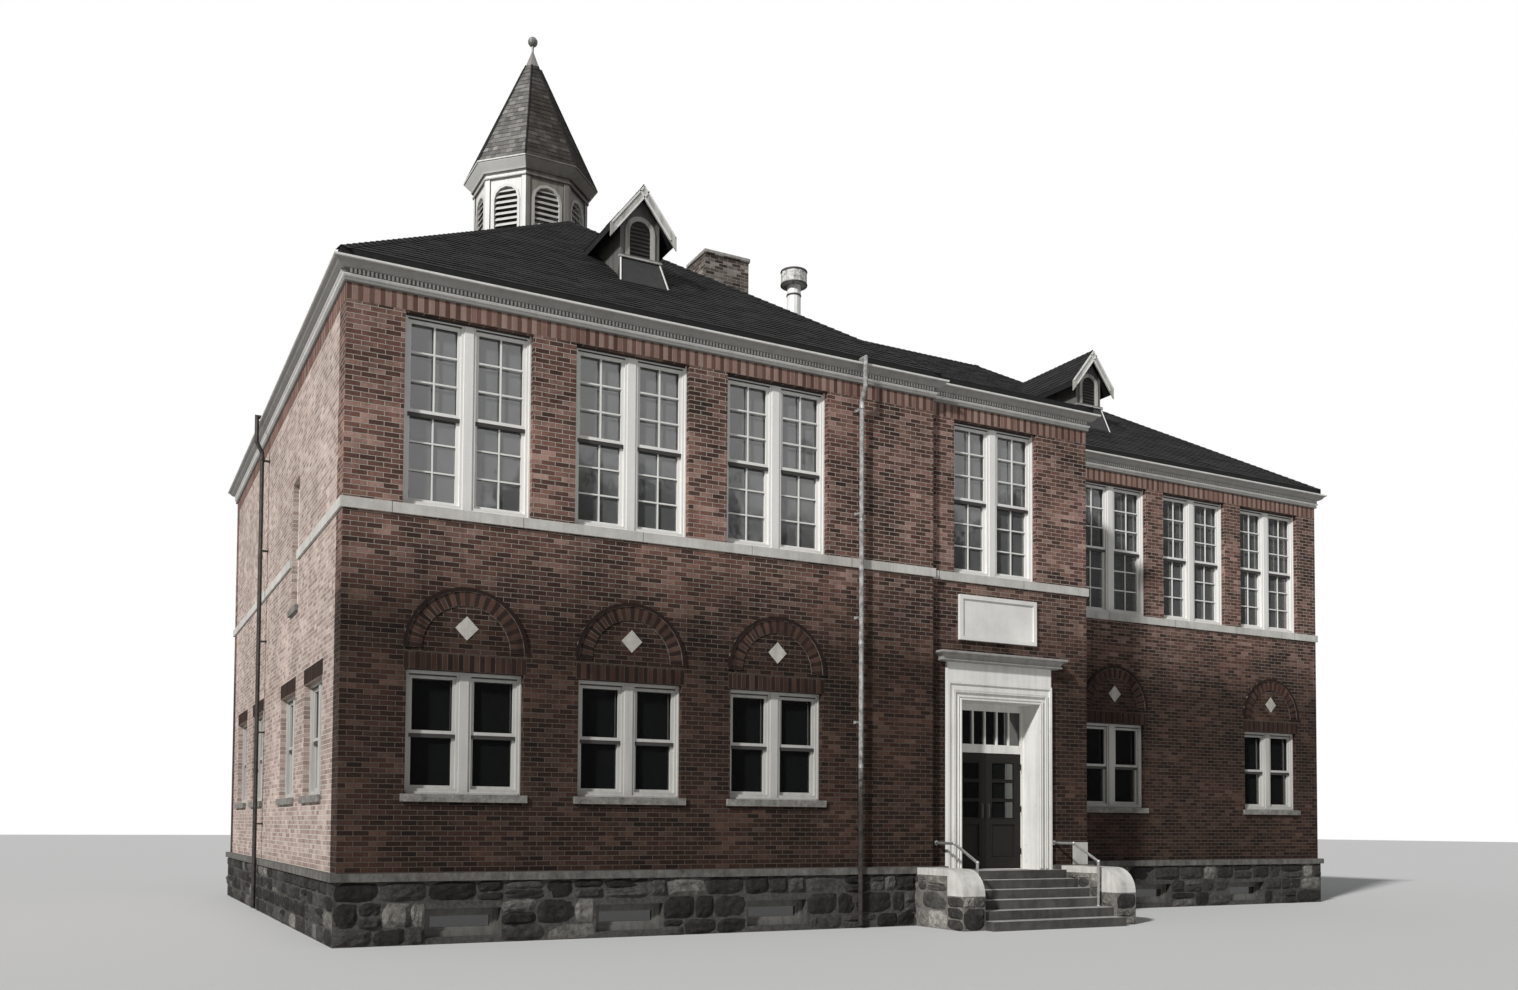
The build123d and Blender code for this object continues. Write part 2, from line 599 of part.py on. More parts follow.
def dormer(centre, back, above_roof, roof_solid):
    """One gabled dormer: walls with an arched opening and a sill, roof, rake boards, apron and pane."""
    roof_at_face = level_of(roof_solid, centre, back)
    sill = roof_at_face + above_roof
    eaves = sill + DORMER_EAVES_ABOVE_SILL
    half, wall = DORMER_WIDTH / 2, DORMER_WALL
    slope, up = tan(radians(DORMER_PITCH)), 1 / cos(radians(DORMER_PITCH))
    peak, low, far = eaves + half * slope, roof_at_face - DORMER_FOOT, back + DORMER_RUN

    gable = [(centre - half, low), (centre + half, low), (centre + half, eaves), (centre, peak),
             (centre - half, eaves)]
    shoulder = eaves + wall * slope - wall * up
    inner = [(centre - half + wall, low), (centre + half - wall, low), (centre + half - wall, shoulder),
             (centre, peak - wall * up), (centre - half + wall, shoulder)]
    walls = prism_along_y(gable, back, far) - prism_along_y(inner, back + wall, far)
    radius = DORMER_OPENING / 2
    opening = arch(centre, DORMER_OPENING, sill, sill + DORMER_OPENING_HEIGHT - radius, DORMER_ARCH_FACETS)
    walls -= prism_along_y(opening, back - 1, back + wall + 1)
    past = half + DORMER_SILL_PAST
    head = sill - DORMER_SILL_BOARD
    walls += block(centre - past, centre + past, back - DORMER_SILL_PROUD, back, head, sill)
    pane_at = back + wall / 2
    pane = prism_along_y(opening, pane_at, pane_at + DORMER_GLASS)

    front, ridge, reach = back - DORMER_FRONT_REACH, peak + DORMER_ROOF * up, half + DORMER_EAVE_REACH
    roof = prism_along_y(chevron(centre, reach, ridge, DORMER_ROOF), front, far)
    rake = prism_along_y(chevron(centre, reach, ridge, DORMER_RAKE), front - DORMER_RAKE_THICKNESS, front)

    side_on = [(back, low), (back, head), (back - APRON_TOP_PROUD, head),
               (back - APRON_FOOT_PROUD, roof_at_face - DORMER_FOOT / 2), (back - APRON_FOOT_PROUD, low)]
    wide = half + APRON_FLARE
    face_on = [(centre - wide, low), (centre + wide, low), (centre + wide, roof_at_face - DORMER_FOOT / 2),
               (centre + half, head), (centre - half, head), (centre - wide, roof_at_face - DORMER_FOOT / 2)]
    apron = prism_along_x(side_on, centre - wide, centre + wide)
    apron &= prism_along_y(face_on, back - APRON_FOOT_PROUD, back)
    return walls - roof_solid, roof - roof_solid, rake, apron - roof_solid, pane


def level_of(roof_solid, x, y):
    """The height of a roof's upper surface at a place in plan."""
    probe = block(x - 1, x + 1, y, y + 1, WALL_TOP, RIDGE_Z) & roof_solid
    return probe.bounding_box().max.Z


def build_dormers():
    """Two gabled dormers, on the wing's front slope and the main front slope; returns their panes."""
    left = dormer(LEFT_DORMER_AT, LEFT_DORMER_BACK, LEFT_DORMER_SILL_ABOVE_ROOF, wing_roof())
    right = dormer(RIGHT_DORMER_AT, RIGHT_DORMER_BACK, RIGHT_DORMER_SILL_ABOVE_ROOF, main_roof())
    for i, name in enumerate(("dormer_walls", "dormer_roofs", "dormer_rakes", "dormer_aprons")):
        save(name, left[i], right[i])
    return [left[-1], right[-1]]


def octagon(across, z0, z1, foot_across=None):
    """An upright eight-sided solid on the cupola's axis, a flat side to the front."""
    corner = cos(radians(180 / CUPOLA_SIDES))
    profile = [((foot_across or across) / 2 / corner, z0), (across / 2 / corner, z1)]
    return turned(CUPOLA_X, CUPOLA_Y, profile, CUPOLA_SIDES, 180 / CUPOLA_SIDES)


def around(shape, i):
    """The same shape turned to the cupola's side number i."""
    return shape.rotate(Axis((CUPOLA_X, CUPOLA_Y, 0), (0, 0, 1)), 360 / CUPOLA_SIDES * i)


def build_cupola():
    """Eight-sided belfry with corner posts, sunk panels and louvres, a shingled spire and a ball finial."""
    roofs = wing_roof() + main_roof()
    face = DRUM_ACROSS / 2
    panel = face - DRUM_PANEL_SINK
    low, high = RIDGE_Z - DRUM_BELOW_RIDGE, DRUM_TOP - DRUM_FRIEZE
    side = DRUM_ACROSS * tan(radians(180 / CUPOLA_SIDES))
    drum = octagon(DRUM_ACROSS, low, DRUM_TOP) - octagon(DRUM_ACROSS - 2 * DRUM_WALL, low, DRUM_TOP)
    outline = arch(CUPOLA_X, LOUVRE_WIDTH, LOUVRE_BOTTOM, LOUVRE_SPRING, LOUVRE_FACETS)
    sunk = block(CUPOLA_X - side / 2 + CORNER_POST, CUPOLA_X + side / 2 - CORNER_POST, CUPOLA_Y - face - 1,
                 CUPOLA_Y - panel, low, high)
    hole = sunk + prism_along_y(outline, CUPOLA_Y - face - 1, CUPOLA_Y - face + DRUM_WALL + 1)
    for i in range(CUPOLA_SIDES):
        drum -= around(hole, i)
    save("cupola_drum", drum - roofs)

    near, far = CUPOLA_Y - panel - LOUVRE_FRAME_PROUD, CUPOLA_Y - face + DRUM_WALL

    def within(inset):
        return arch(CUPOLA_X, LOUVRE_WIDTH - 2 * inset, LOUVRE_BOTTOM + inset, LOUVRE_SPRING, LOUVRE_FACETS)

    louvre = prism_along_y(outline, near, far) - prism_along_y(within(LOUVRE_FRAME), near - 1, far + 1)
    room = prism_along_y(within(LOUVRE_FRAME / 2), near, far)
    y0, y1 = near + LOUVRE_FRAME_PROUD + SLAT_SETBACK, far - SLAT_SETBACK
    low = LOUVRE_BOTTOM + LOUVRE_FRAME
    pitch = (LOUVRE_SPRING + LOUVRE_WIDTH / 2 - LOUVRE_FRAME - low) / SLATS
    for i in range(SLATS):
        z = low + i * pitch + SLAT
        slat = [(y0, z), (y0, z + SLAT), (y1, z + pitch / 2 + SLAT), (y1, z + pitch / 2)]
        louvre += prism_along_x(slat, CUPOLA_X - LOUVRE_WIDTH, CUPOLA_X + LOUVRE_WIDTH) & room
    save("cupola_louvres", *[around(louvre, i) for i in range(CUPOLA_SIDES)])

    fascia = octagon(EAVE_ACROSS, DRUM_TOP + EAVE_FLARE, SPIRE_FOOT)
    save("cupola_eaves", octagon(EAVE_ACROSS, DRUM_TOP, DRUM_TOP + EAVE_FLARE, EAVE_FOOT_ACROSS) + fascia)
    tip = EAVE_ACROSS * SPIRE_CAP / SPIRE_HEIGHT
    save("cupola_spire", octagon(tip, SPIRE_FOOT, SPIRE_TOP - SPIRE_CAP, EAVE_ACROSS))

    ball = SPIRE_TOP + FINIAL_HEIGHT
    profile = [(tip / 2, SPIRE_TOP - SPIRE_CAP), (FINIAL_ROD, SPIRE_TOP)]
    profile += arc(0, ball, FINIAL_BALL, -75, 75, 6) + [(FINIAL_ROD / 2, ball + FINIAL_BALL)]
    save("cupola_finial", turned(CUPOLA_X, CUPOLA_Y, profile, FINIAL_SIDES))


def bays(u, width, mullion):
    """The clear bays of a frame, left and right of its mullion, or one bay without a mullion."""
    left, right = u - width / 2 + FRAME_FACE, u + width / 2 - FRAME_FACE
    if not mullion:
        return [(left, right)]
    return [(left, u - mullion / 2), (u + mullion / 2, right)]


def window(opening, mullion, hung):
    """One window: a frame with its sashes, and a sheet of glass in each bay."""
    side, u, width, low, high = opening
    front, back = REVEAL, REVEAL + FRAME_DEPTH
    frame = side.box(u - width / 2, u + width / 2, front, back, low, high)
    foot, head = low + FRAME_SILL, high - FRAME_FACE
    middle = (foot + head) / 2
    panes = []
    for a, b in bays(u, width, mullion):
        frame -= side.box(a, b, front - 1, back + 1, foot, head)
        outer, inner = front + SASH_SETBACK, front + SASH_SETBACK + SASH_THICKNESS
        sashes = [(foot, head, outer, inner)]
        if hung:
            lap = SASH_FACE / 2
            sashes = [(middle - lap, head, outer, inner), (foot, middle + lap, inner, inner + SASH_THICKNESS)]
        for z0, z1, d0, d1 in sashes:
            sash = side.box(a, b, d0, d1, z0, z1)
            frame += sash - side.box(a + SASH_FACE, b - SASH_FACE, d0, d1, z0 + SASH_FACE, z1 - SASH_FACE)
        behind = sashes[-1][3]
        panes.append(side.box(a, b, behind, behind + GLASS, foot, head))
    return frame, panes


def build_windows(other_panes):
    """Frames with hung sashes, a node a storey, and one node for all the fixed glass."""
    panes = list(other_panes)
    groups = (("upper_window_frames", [(opening, MULLION, True) for opening in UPPER]),
              ("lower_window_frames", [(opening, MULLION, True) for opening in LOWER]),
              ("stair_window_frame", [(opening, 0, True) for opening in STAIR]),
              ("basement_window_frames", [(opening, 0, False) for opening in BASEMENT]))
    for name, rows in groups:
        made = [window(*row) for row in rows]
        save(name, *[frame for frame, _ in made])
        panes += [pane for _, sheets in made for pane in sheets]
    save("window_glass", *panes)


def build_window_dressings():
    """Stone sills, blind arches and lozenges."""
    sills, arches, lozenges = [], [], []
    for side, u, width, low, _ in LOWER:
        sills.append(side.box(u - width / 2 - SILL_PAST, u + width / 2 + SILL_PAST, -SILL_PROUD, 0,
                              low - SILL_HEIGHT, low))
    side, u, width, low, _ = STAIR[0]
    sills.append(side.box(u - width / 2 - SILL_PAST, u + width / 2 + SILL_PAST, -SILL_PROUD, 0,
                          low - SILL_HEIGHT, low))
    for side, u, _, _, _ in ARCHED:
        def half_ring(r0, r1, proud):
            outer_line = arc(u, ARCH_SPRING, r1, 0, 180, ARCH_FACETS)
            inner_line = arc(u, ARCH_SPRING, r0, 180, 0, ARCH_FACETS)
            return prism_along_y(outer_line + inner_line, side.face - proud, side.face)

        outer = ARCH_INNER + ARCH_RING
        arches.append(half_ring(ARCH_INNER, outer, ARCH_PROUD)
                      + half_ring(outer, outer + HOOD_RING, HOOD_RING_PROUD))
        z, w, h = ARCH_SPRING + LOZENGE_ABOVE_SPRING, LOZENGE_WIDTH / 2, LOZENGE_HEIGHT / 2
        lozenges.append(prism_along_y([(u - w, z), (u, z - h), (u + w, z), (u, z + h)],
                                      side.face - LOZENGE_PROUD, side.face))
    save("window_sills", *sills)
    save("blind_arches", *arches)
    save("lozenge_tiles", *lozenges)


def build_entrance():
    """Door surround with its hood, the blank tablet and the door frame; returns the transom pane."""
    half = OPENING_WIDTH / 2
    clear = doorway(-SURROUND_PROUD - 1, DOOR_RECESS + 1, LANDING_TOP - 1, OPENING_TOP, half)
    surround = doorway(-SURROUND_PLAIN_PROUD, 0, LANDING_TOP, SURROUND_TOP, SURROUND_HALF)
    surround += doorway(0, DOOR_RECESS, LANDING_TOP, OPENING_TOP + LINING, half + LINING)
    moulding_top, moulding = OPENING_TOP + SURROUND_HEAD, SURROUND_HALF - SURROUND_MOULDING
    edge = doorway(-SURROUND_PROUD, -SURROUND_PLAIN_PROUD, LANDING_TOP, moulding_top, SURROUND_HALF)
    edge -= doorway(-SURROUND_PROUD, 0, LANDING_TOP, moulding_top - SURROUND_MOULDING, moulding)
    save("door_surround", surround + edge - clear)

    base = SURROUND_TOP
    tiers = ((0.00, 0.26, 0.15, 0.45), (0.26, 0.42, 0.66, 0.66), (0.42, 0.60, 0.72, 0.90),
             (0.60, 1.0, 1.0, 1.0))
    hood = None
    for z0, z1, lower, upper in tiers:
        rings = []
        for z, share in ((z0, lower), (z1, upper)):
            w = SURROUND_HALF + HOOD_PAST * share
            reach = SURROUND_PLAIN_PROUD + (HOOD_REACH - SURROUND_PLAIN_PROUD) * share
            plane = Plane((DOOR_CENTRE, ENTRANCE_SETBACK - reach / 2, base + z * HOOD_HEIGHT))
            rings.append(plane * Rectangle(2 * w, reach))
        tier = loft(rings, ruled=True)
        hood = tier if hood is None else hood + tier
    save("door_hood", hood)

    w, p, b = TABLET_WIDTH / 2, TABLET_PROUD, TABLET_BORDER
    u, top = DOOR_CENTRE - TABLET_LEFT_OF_DOOR, TABLET_BOTTOM + TABLET_HEIGHT
    tablet = FRONT_BAY.box(u - w, u + w, -p, 0, TABLET_BOTTOM, top)
    tablet -= FRONT_BAY.box(u - w + b, u + w - b, -p, TABLET_SINK - p, TABLET_BOTTOM + b, top - b)
    save("blank_tablet", tablet)

    front, back = DOOR_RECESS, DOOR_RECESS + FRAME_BEHIND
    inner = half - DOOR_FRAME
    frame = doorway(front, back, FLOOR_LEVEL, OPENING_TOP, half)
    frame -= doorway(front - 1, back + 1, FLOOR_LEVEL - 1, DOOR_TOP, inner)
    light_low, light_high = DOOR_TOP + TRANSOM_BAR, OPENING_TOP - DOOR_HEAD
    frame -= doorway(front - 1, back + 1, light_low, light_high, inner)
    pitch = 2 * inner / (TRANSOM_BARS + 1)
    for i in range(TRANSOM_BARS):
        u = DOOR_CENTRE - inner + (i + 1) * pitch
        frame += FRONT_BAY.box(u - TRANSOM_BAR_FACE / 2, u + TRANSOM_BAR_FACE / 2, front,
                               front + SASH_THICKNESS, light_low, light_high)
    frame += doorway(DOOR_RECESS, FOUNDATION_WALL - FOUNDATION_PROUD, WATER_TABLE_BOTTOM, FLOOR_LEVEL,
                     half + LINING)
    for hand in (-1, 1):
        near, far = sorted((DOOR_CENTRE + hand * inner, DOOR_CENTRE + hand * (inner + FRAME_FACE / 2)))
        for z in HINGE_LEVELS:
            frame += FRONT_BAY.box(near, far, front - HINGE_FLAP, front, z - HINGE_FOOT, z)
            frame += knuckle(hand, z - HINGE_FOOT, z)
    save("door_frame", frame)
    return doorway(front + SASH_THICKNESS, front + SASH_THICKNESS + GLASS, light_low, light_high, inner)


def knuckle(hand, low, high):
    """A round hinge knuckle on a leaf's axis, between two levels."""
    u = DOOR_CENTRE + hand * (OPENING_WIDTH / 2 - DOOR_FRAME - DOOR_EDGE_GAP / 2)
    y = ENTRANCE_SETBACK + DOOR_RECESS - HINGE_RADIUS - HINGE_GAP
    return turned(u, y, [(HINGE_RADIUS, low), (HINGE_RADIUS, high)], PIPE_SIDES)


def door_leaf(hand):
    """One leaf, hung on three hinges; hand is -1 for the left leaf and 1 for the right one."""
    jamb = OPENING_WIDTH / 2 - DOOR_FRAME - DOOR_EDGE_GAP
    inner, outer = DOOR_MEETING_GAP / 2, jamb

    def strip(a, b, d0, d1, z0, z1):
        u0, u1 = sorted((DOOR_CENTRE + hand * a, DOOR_CENTRE + hand * b))
        return FRONT_BAY.box(u0, u1, d0, d1, z0, z1)

    front, back = DOOR_RECESS, DOOR_RECESS + DOOR_THICKNESS
    low, high = FLOOR_LEVEL + DOOR_UNDERCUT, DOOR_TOP - DOOR_UNDERCUT
    leaf = strip(inner, outer, front, back, low, high)
    a, b = inner + DOOR_STILE, outer - DOOR_STILE
    panes = []
    middle = (front + back) / 2
    for i in range(DOOR_LIGHTS):
        top = high - DOOR_TOP_RAIL - i * (DOOR_LIGHT_HEIGHT + DOOR_LIGHT_BAR)
        leaf -= strip(a, b, front - 1, back + 1, top - DOOR_LIGHT_HEIGHT, top)
        panes.append(strip(a, b, middle - GLASS / 2, middle + GLASS / 2, top - DOOR_LIGHT_HEIGHT, top))
    panel_top, panel_low = top - DOOR_LIGHT_HEIGHT - DOOR_PANEL_RAIL, low + DOOR_BOTTOM_RAIL
    for d0, d1 in ((front - 1, front + DOOR_PANEL_SINK), (back - DOOR_PANEL_SINK, back + 1)):
        leaf -= strip(a, b, d0, d1, panel_low, panel_top)
    return leaf, panes, strip


def build_doors():
    """A pair of glazed leaves that open outwards, each on three hinges."""
    for name, hand in (("left_door", -1), ("right_door", 1)):
        leaf, panes, strip = door_leaf(hand)
        edge = OPENING_WIDTH / 2 - DOOR_FRAME - DOOR_EDGE_GAP
        for z in HINGE_LEVELS:
            leaf += knuckle(hand, z, z + HINGE_LENGTH)
            leaf += strip(edge - HINGE_FLAP_WIDTH, edge + DOOR_EDGE_GAP / 2, DOOR_RECESS - HINGE_FLAP,
                          DOOR_RECESS, z, z + HINGE_LENGTH)
        save(name, leaf)
        save(name + "_glass", *panes)


def build_steps():
    """Stone steps between cheek walls with quarter-round copings, and pipe handrails."""
    outline = [(ENTRANCE_SETBACK, 0), (ENTRANCE_SETBACK, LANDING_TOP), (LANDING_FRONT, LANDING_TOP)]
    for i in range(1, RISERS):
        y, z = LANDING_FRONT - (i - 1) * TREAD, LANDING_TOP - i * RISER
        outline += [(y, z), (y - TREAD, z)]
    outline += [(STEPS_FRONT, 0)]
    plan = footprint(FOUNDATION_PROUD, 0, WATER_TABLE_BOTTOM)
    course = footprint(WATER_TABLE_PROUD, WATER_TABLE_BOTTOM, WATER_TABLE_TOP)
    course -= doorway(-WATER_TABLE_PROUD, 0, WATER_TABLE_BOTTOM, WATER_TABLE_TOP, SURROUND_HALF)
    steps = prism_along_x(outline, STEPS_LEFT, STEPS_RIGHT) - plan - course
    steps += doorway(0, DOOR_RECESS, WATER_TABLE_BOTTOM, LANDING_TOP, OPENING_WIDTH / 2 + LINING)
    save("entrance_steps", steps)

    walls, copings = [], []
    back = ENTRANCE_SETBACK
    top, turn = COPING_TOP, COPING_TOP - COPING_RADIUS
    round_back, cap = CHEEK_FRONT + COPING_RADIUS, COPING_TOP - COPING_CAP
    wall = [(CHEEK_FRONT, 0), (CHEEK_FRONT, turn), (round_back, turn), (round_back, cap)]
    wall += [(back, cap), (back, 0)]
    coping = arc(round_back, turn, COPING_RADIUS, 180, 90, COPING_FACETS)
    coping += [(back, top), (back, cap), (round_back, cap), (round_back, turn)]
    for x0, x1 in ((STEPS_LEFT - CHEEK_WIDTH, STEPS_LEFT), (STEPS_RIGHT, STEPS_RIGHT + CHEEK_WIDTH)):
        walls.append(prism_along_x(wall, x0, x1) - plan)
        copings.append(prism_along_x(coping, x0, x1) - plan - course)
    save("cheek_walls", *walls)
    save("cheek_copings", *copings)


def pipe(points, radius):
    """A many-sided pipe along straight runs with mitred corners."""
    path = Polyline(*points)
    start = Plane(origin=path @ 0, z_dir=path % 0)
    return sweep(start * RegularPolygon(radius, PIPE_SIDES), path=path, transition=Transition.RIGHT)


def build_handrails():
    """Two pipe rails: each leaves the wall level, slopes with the steps and turns down to a tread."""
    wall, tread = ENTRANCE_SETBACK, LANDING_TOP - (RISERS - 2) * RISER
    rails = []
    for x in (STEPS_LEFT + RAIL_INSET, STEPS_RIGHT - RAIL_INSET):
        foot = wall - RAIL_FOOT_RUN
        rails.append(pipe([(x, wall, RAIL_TOP), (x, wall - RAIL_LEVEL_RUN, RAIL_TOP), (x, foot, RAIL_LOW),
                           (x, foot, tread)], RAIL_RADIUS))
    save("handrails", *rails)


def downspout(side, u):
    """A round downspout from the roof edge to the ground, held off the wall by brackets."""
    out = WATER_TABLE_PROUD + SPOUT_CLEARANCE + SPOUT_RADIUS
    past = CORNICE_PROUD + SPOUT_CLEARANCE + SPOUT_RADIUS
    bend, eave = CORNICE_BOTTOM - SPOUT_BEND_BELOW, EAVE_TOP - SPOUT_BELOW_EAVE
    profile = [(out, SPOUT_FOOT), (out, bend), (past, bend + SPOUT_SWEEP), (past, eave),
               (ROOF_OVERHANG, eave)]
    if side.along == "x":
        points = [(u, side.face - side.inward * d, z) for d, z in profile]
    else:
        points = [(side.face - side.inward * d, u, z) for d, z in profile]
    spout = pipe(points, SPOUT_RADIUS)
    first, last = WATER_TABLE_TOP + BRACKET_ABOVE_WATER_TABLE, CORNICE_BOTTOM - BRACKET_BELOW_CORNICE
    for i in range(BRACKETS):
        z = first + (last - first) * i / (BRACKETS - 1)
        spout += side.box(u - BRACKET, u + BRACKET, -out, 0, z, z + BRACKET)
    return spout


build_foundation()
build_courses()
build_walls()
build_floors()
build_roofs()
build_cupola()
build_window_dressings()
build_windows([build_entrance()] + build_dormers())
build_doors()
build_steps()
build_handrails()
save("downspouts", downspout(FRONT_LEFT, FRONT_SPOUT_AT), downspout(SIDE_LEFT, SIDE_SPOUT_AT))
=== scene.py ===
import bpy
import bmesh
import random
from math import cos, pi, radians, sin, tan
from mathutils import Matrix, Vector


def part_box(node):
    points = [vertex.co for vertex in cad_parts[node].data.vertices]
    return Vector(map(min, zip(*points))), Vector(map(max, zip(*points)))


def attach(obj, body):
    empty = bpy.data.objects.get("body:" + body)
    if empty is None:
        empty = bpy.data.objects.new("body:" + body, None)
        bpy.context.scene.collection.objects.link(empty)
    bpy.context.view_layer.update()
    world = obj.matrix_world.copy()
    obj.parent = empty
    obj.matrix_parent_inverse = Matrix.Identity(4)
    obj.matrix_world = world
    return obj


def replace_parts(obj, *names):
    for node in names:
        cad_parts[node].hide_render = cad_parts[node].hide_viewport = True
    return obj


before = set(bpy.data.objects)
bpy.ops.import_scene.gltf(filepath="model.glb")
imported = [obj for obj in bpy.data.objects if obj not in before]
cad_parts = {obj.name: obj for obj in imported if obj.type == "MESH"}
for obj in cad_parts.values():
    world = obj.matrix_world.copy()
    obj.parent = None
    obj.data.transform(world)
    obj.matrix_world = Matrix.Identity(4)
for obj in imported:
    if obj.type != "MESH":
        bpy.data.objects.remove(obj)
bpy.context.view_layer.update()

# Basement walls. Field-stone rubble: rock-faced stones of all sizes laid in uneven courses and bedded in lime
# mortar, stones and mortar painted dark as shade, broken round the low cellar windows.
# Places are metres right of the left wing's corner (x), back from its face (y) and up from the ground (z).
wall_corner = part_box("left_wing_front_wall")[0]
chance = random.Random(1907)


def at(x, y, z):
    return Vector((wall_corner.x + x, wall_corner.y + y, z))


class Wall:
    """An outside wall plane: u runs along it, out points away from the building."""

    def __init__(self, along, plane, outward, start=0.0, end=0.0):
        self.along, self.plane, self.outward = along, plane, outward
        self.start, self.end = start, end

    def point(self, u, out, z):
        across = self.plane + self.outward * out
        return at(u, across, z) if self.along == "x" else at(across, u, z)


wing_right, bay_right, main_right = 9.6, 13.1, 21.5
bay_face, main_face = 0.12, 1.85
main_back, wing_back = 12.25, 13.5
front_wing = Wall("x", 0.0, -1, 0.0, wing_right)
front_bay = Wall("x", bay_face, -1, wing_right, bay_right)
front_main = Wall("x", main_face, -1, bay_right, main_right)
back_wing = Wall("x", wing_back, 1, 0.0, wing_right)
back_main = Wall("x", main_back, 1, wing_right, main_right)
left_side = Wall("y", 0.0, -1, 0.0, wing_back)
right_end = Wall("y", main_right, 1, main_face, main_back)
bay_side = Wall("y", bay_right, 1, bay_face, main_face)
back_return = Wall("y", wing_right, 1, main_back, wing_back)


def put(tree, kind, inputs=None, **settings):
    """A node with its settings; an input given as a socket is linked, any other is set."""
    made = tree.nodes.new(kind)
    for key, value in settings.items():
        setattr(made, key, value)
    for key, value in (inputs or {}).items():
        if isinstance(value, bpy.types.NodeSocket):
            tree.links.new(value, made.inputs[key])
        else:
            made.inputs[key].default_value = value
    return made


def calc(tree, operation, a, b=0.0, clamp=False):
    return put(tree, "ShaderNodeMath", {0: a, 1: b}, operation=operation, use_clamp=clamp).outputs[0]


def blend(tree, factor, a, b, mode="MIX"):
    return put(tree, "ShaderNodeMix", {0: factor, 6: a, 7: b}, data_type="RGBA", blend_type=mode).outputs[2]


def ramp(tree, factor, *stops):
    made = put(tree, "ShaderNodeValToRGB", {0: factor})
    while len(made.color_ramp.elements) < len(stops):
        made.color_ramp.elements.new(0.5)
    for element, (position, value) in zip(made.color_ramp.elements, stops):
        element.position = position
        element.color = value if isinstance(value, tuple) else (value, value, value, 1)
    return made.outputs[0]


def noise(tree, vector, scale, detail=4.0, rough=0.6):
    inputs = {"Vector": vector, "Scale": scale, "Detail": detail, "Roughness": rough}
    return put(tree, "ShaderNodeTexNoise", inputs).outputs[0]


def stretched(tree, vector, x, y, z):
    return put(tree, "ShaderNodeMapping", {"Vector": vector, "Scale": (x, y, z)}).outputs[0]


def part_of(tree, vector, axis):
    """One of a vector's three parts, X, Y or Z."""
    return put(tree, "ShaderNodeSeparateXYZ", {0: vector}).outputs[axis]


def between(tree, value, low, high, start=0.0, end=1.0):
    """How far a value has come from low to high, told as start to end."""
    return put(tree, "ShaderNodeMapRange", {0: value, 1: low, 2: high, 3: start, 4: end}).outputs[0]


def relief(tree, height, distance, strength=1.0, normal=None):
    inputs = {"Height": height, "Distance": distance, "Strength": strength}
    if normal is not None:
        inputs["Normal"] = normal
    return put(tree, "ShaderNodeBump", inputs).outputs[0]


def new_group(name, inputs, outputs):
    """A node group with named inputs and outputs: its tree, input node and output node."""
    tree = bpy.data.node_groups.new(name, "ShaderNodeTree")
    for title, kind, value in inputs:
        socket = tree.interface.new_socket(name=title, in_out="INPUT", socket_type=kind)
        if value is not None:
            socket.default_value = value
    for title, kind in outputs:
        tree.interface.new_socket(name=title, in_out="OUTPUT", socket_type=kind)
    return tree, tree.nodes.new("NodeGroupInput"), tree.nodes.new("NodeGroupOutput")


def use_group(tree, group, inputs):
    return put(tree, "ShaderNodeGroup", inputs, node_tree=group)


def look(name, roughness):
    """A new material: itself, its tree, its shader and the object coordinates. A dull one shines less."""
    dull, dull_shine = 0.6, 0.2
    material = bpy.data.materials.new(name)
    material.use_nodes = True
    tree = material.node_tree
    shader = tree.nodes["Principled BSDF"]
    shader.inputs["Roughness"].default_value = roughness
    if roughness > dull:
        shader.inputs["Specular IOR Level"].default_value = dull_shine
    return material, tree, shader, tree.nodes.new("ShaderNodeTexCoord").outputs["Object"]


def feed(tree, source, shader, name):
    tree.links.new(source, shader.inputs[name])


# Weathering and painted shade darken a colour: soft blotches, streaks that run down and fine grain, with
# painted shade up to the belt course and painted shade on every side but the left, the side the lamp lights.
weather_and_shade, weather_shade_in, weather_shade_out = new_group(
    "weather_and_shade",
    [("Color", "NodeSocketColor", None), ("Blotches", "NodeSocketFloat", 0.3),
     ("Streaks", "NodeSocketFloat", 0.3), ("Grain", "NodeSocketFloat", 0.1), ("Low shade", "NodeSocketFloat", 0.0),
     ("Shade side", "NodeSocketFloat", 0.0)],
    [("Color", "NodeSocketColor")])
shade_whole_below, shade_gone_above = 4.0, 6.2
coordinate = weather_and_shade.nodes.new("ShaderNodeTexCoord")
spot = coordinate.outputs["Object"]
blotch = ramp(weather_and_shade, noise(weather_and_shade, spot, 0.9, 6.0), (0.35, 0.0), (0.7, 1.0))
streak = noise(weather_and_shade, stretched(weather_and_shade, spot, 9.0, 9.0, 0.5), 1.0, 5.0)
streak = ramp(weather_and_shade, streak, (0.45, 0.0), (0.75, 1.0))
grain = noise(weather_and_shade, spot, 60.0, 2.0)
# Painted shade over the lower walls: whole below 4 m, gone above 6.2 m.
low_shade = between(weather_and_shade, part_of(weather_and_shade, spot, "Z"), shade_whole_below, shade_gone_above, 1.0, 0.0)
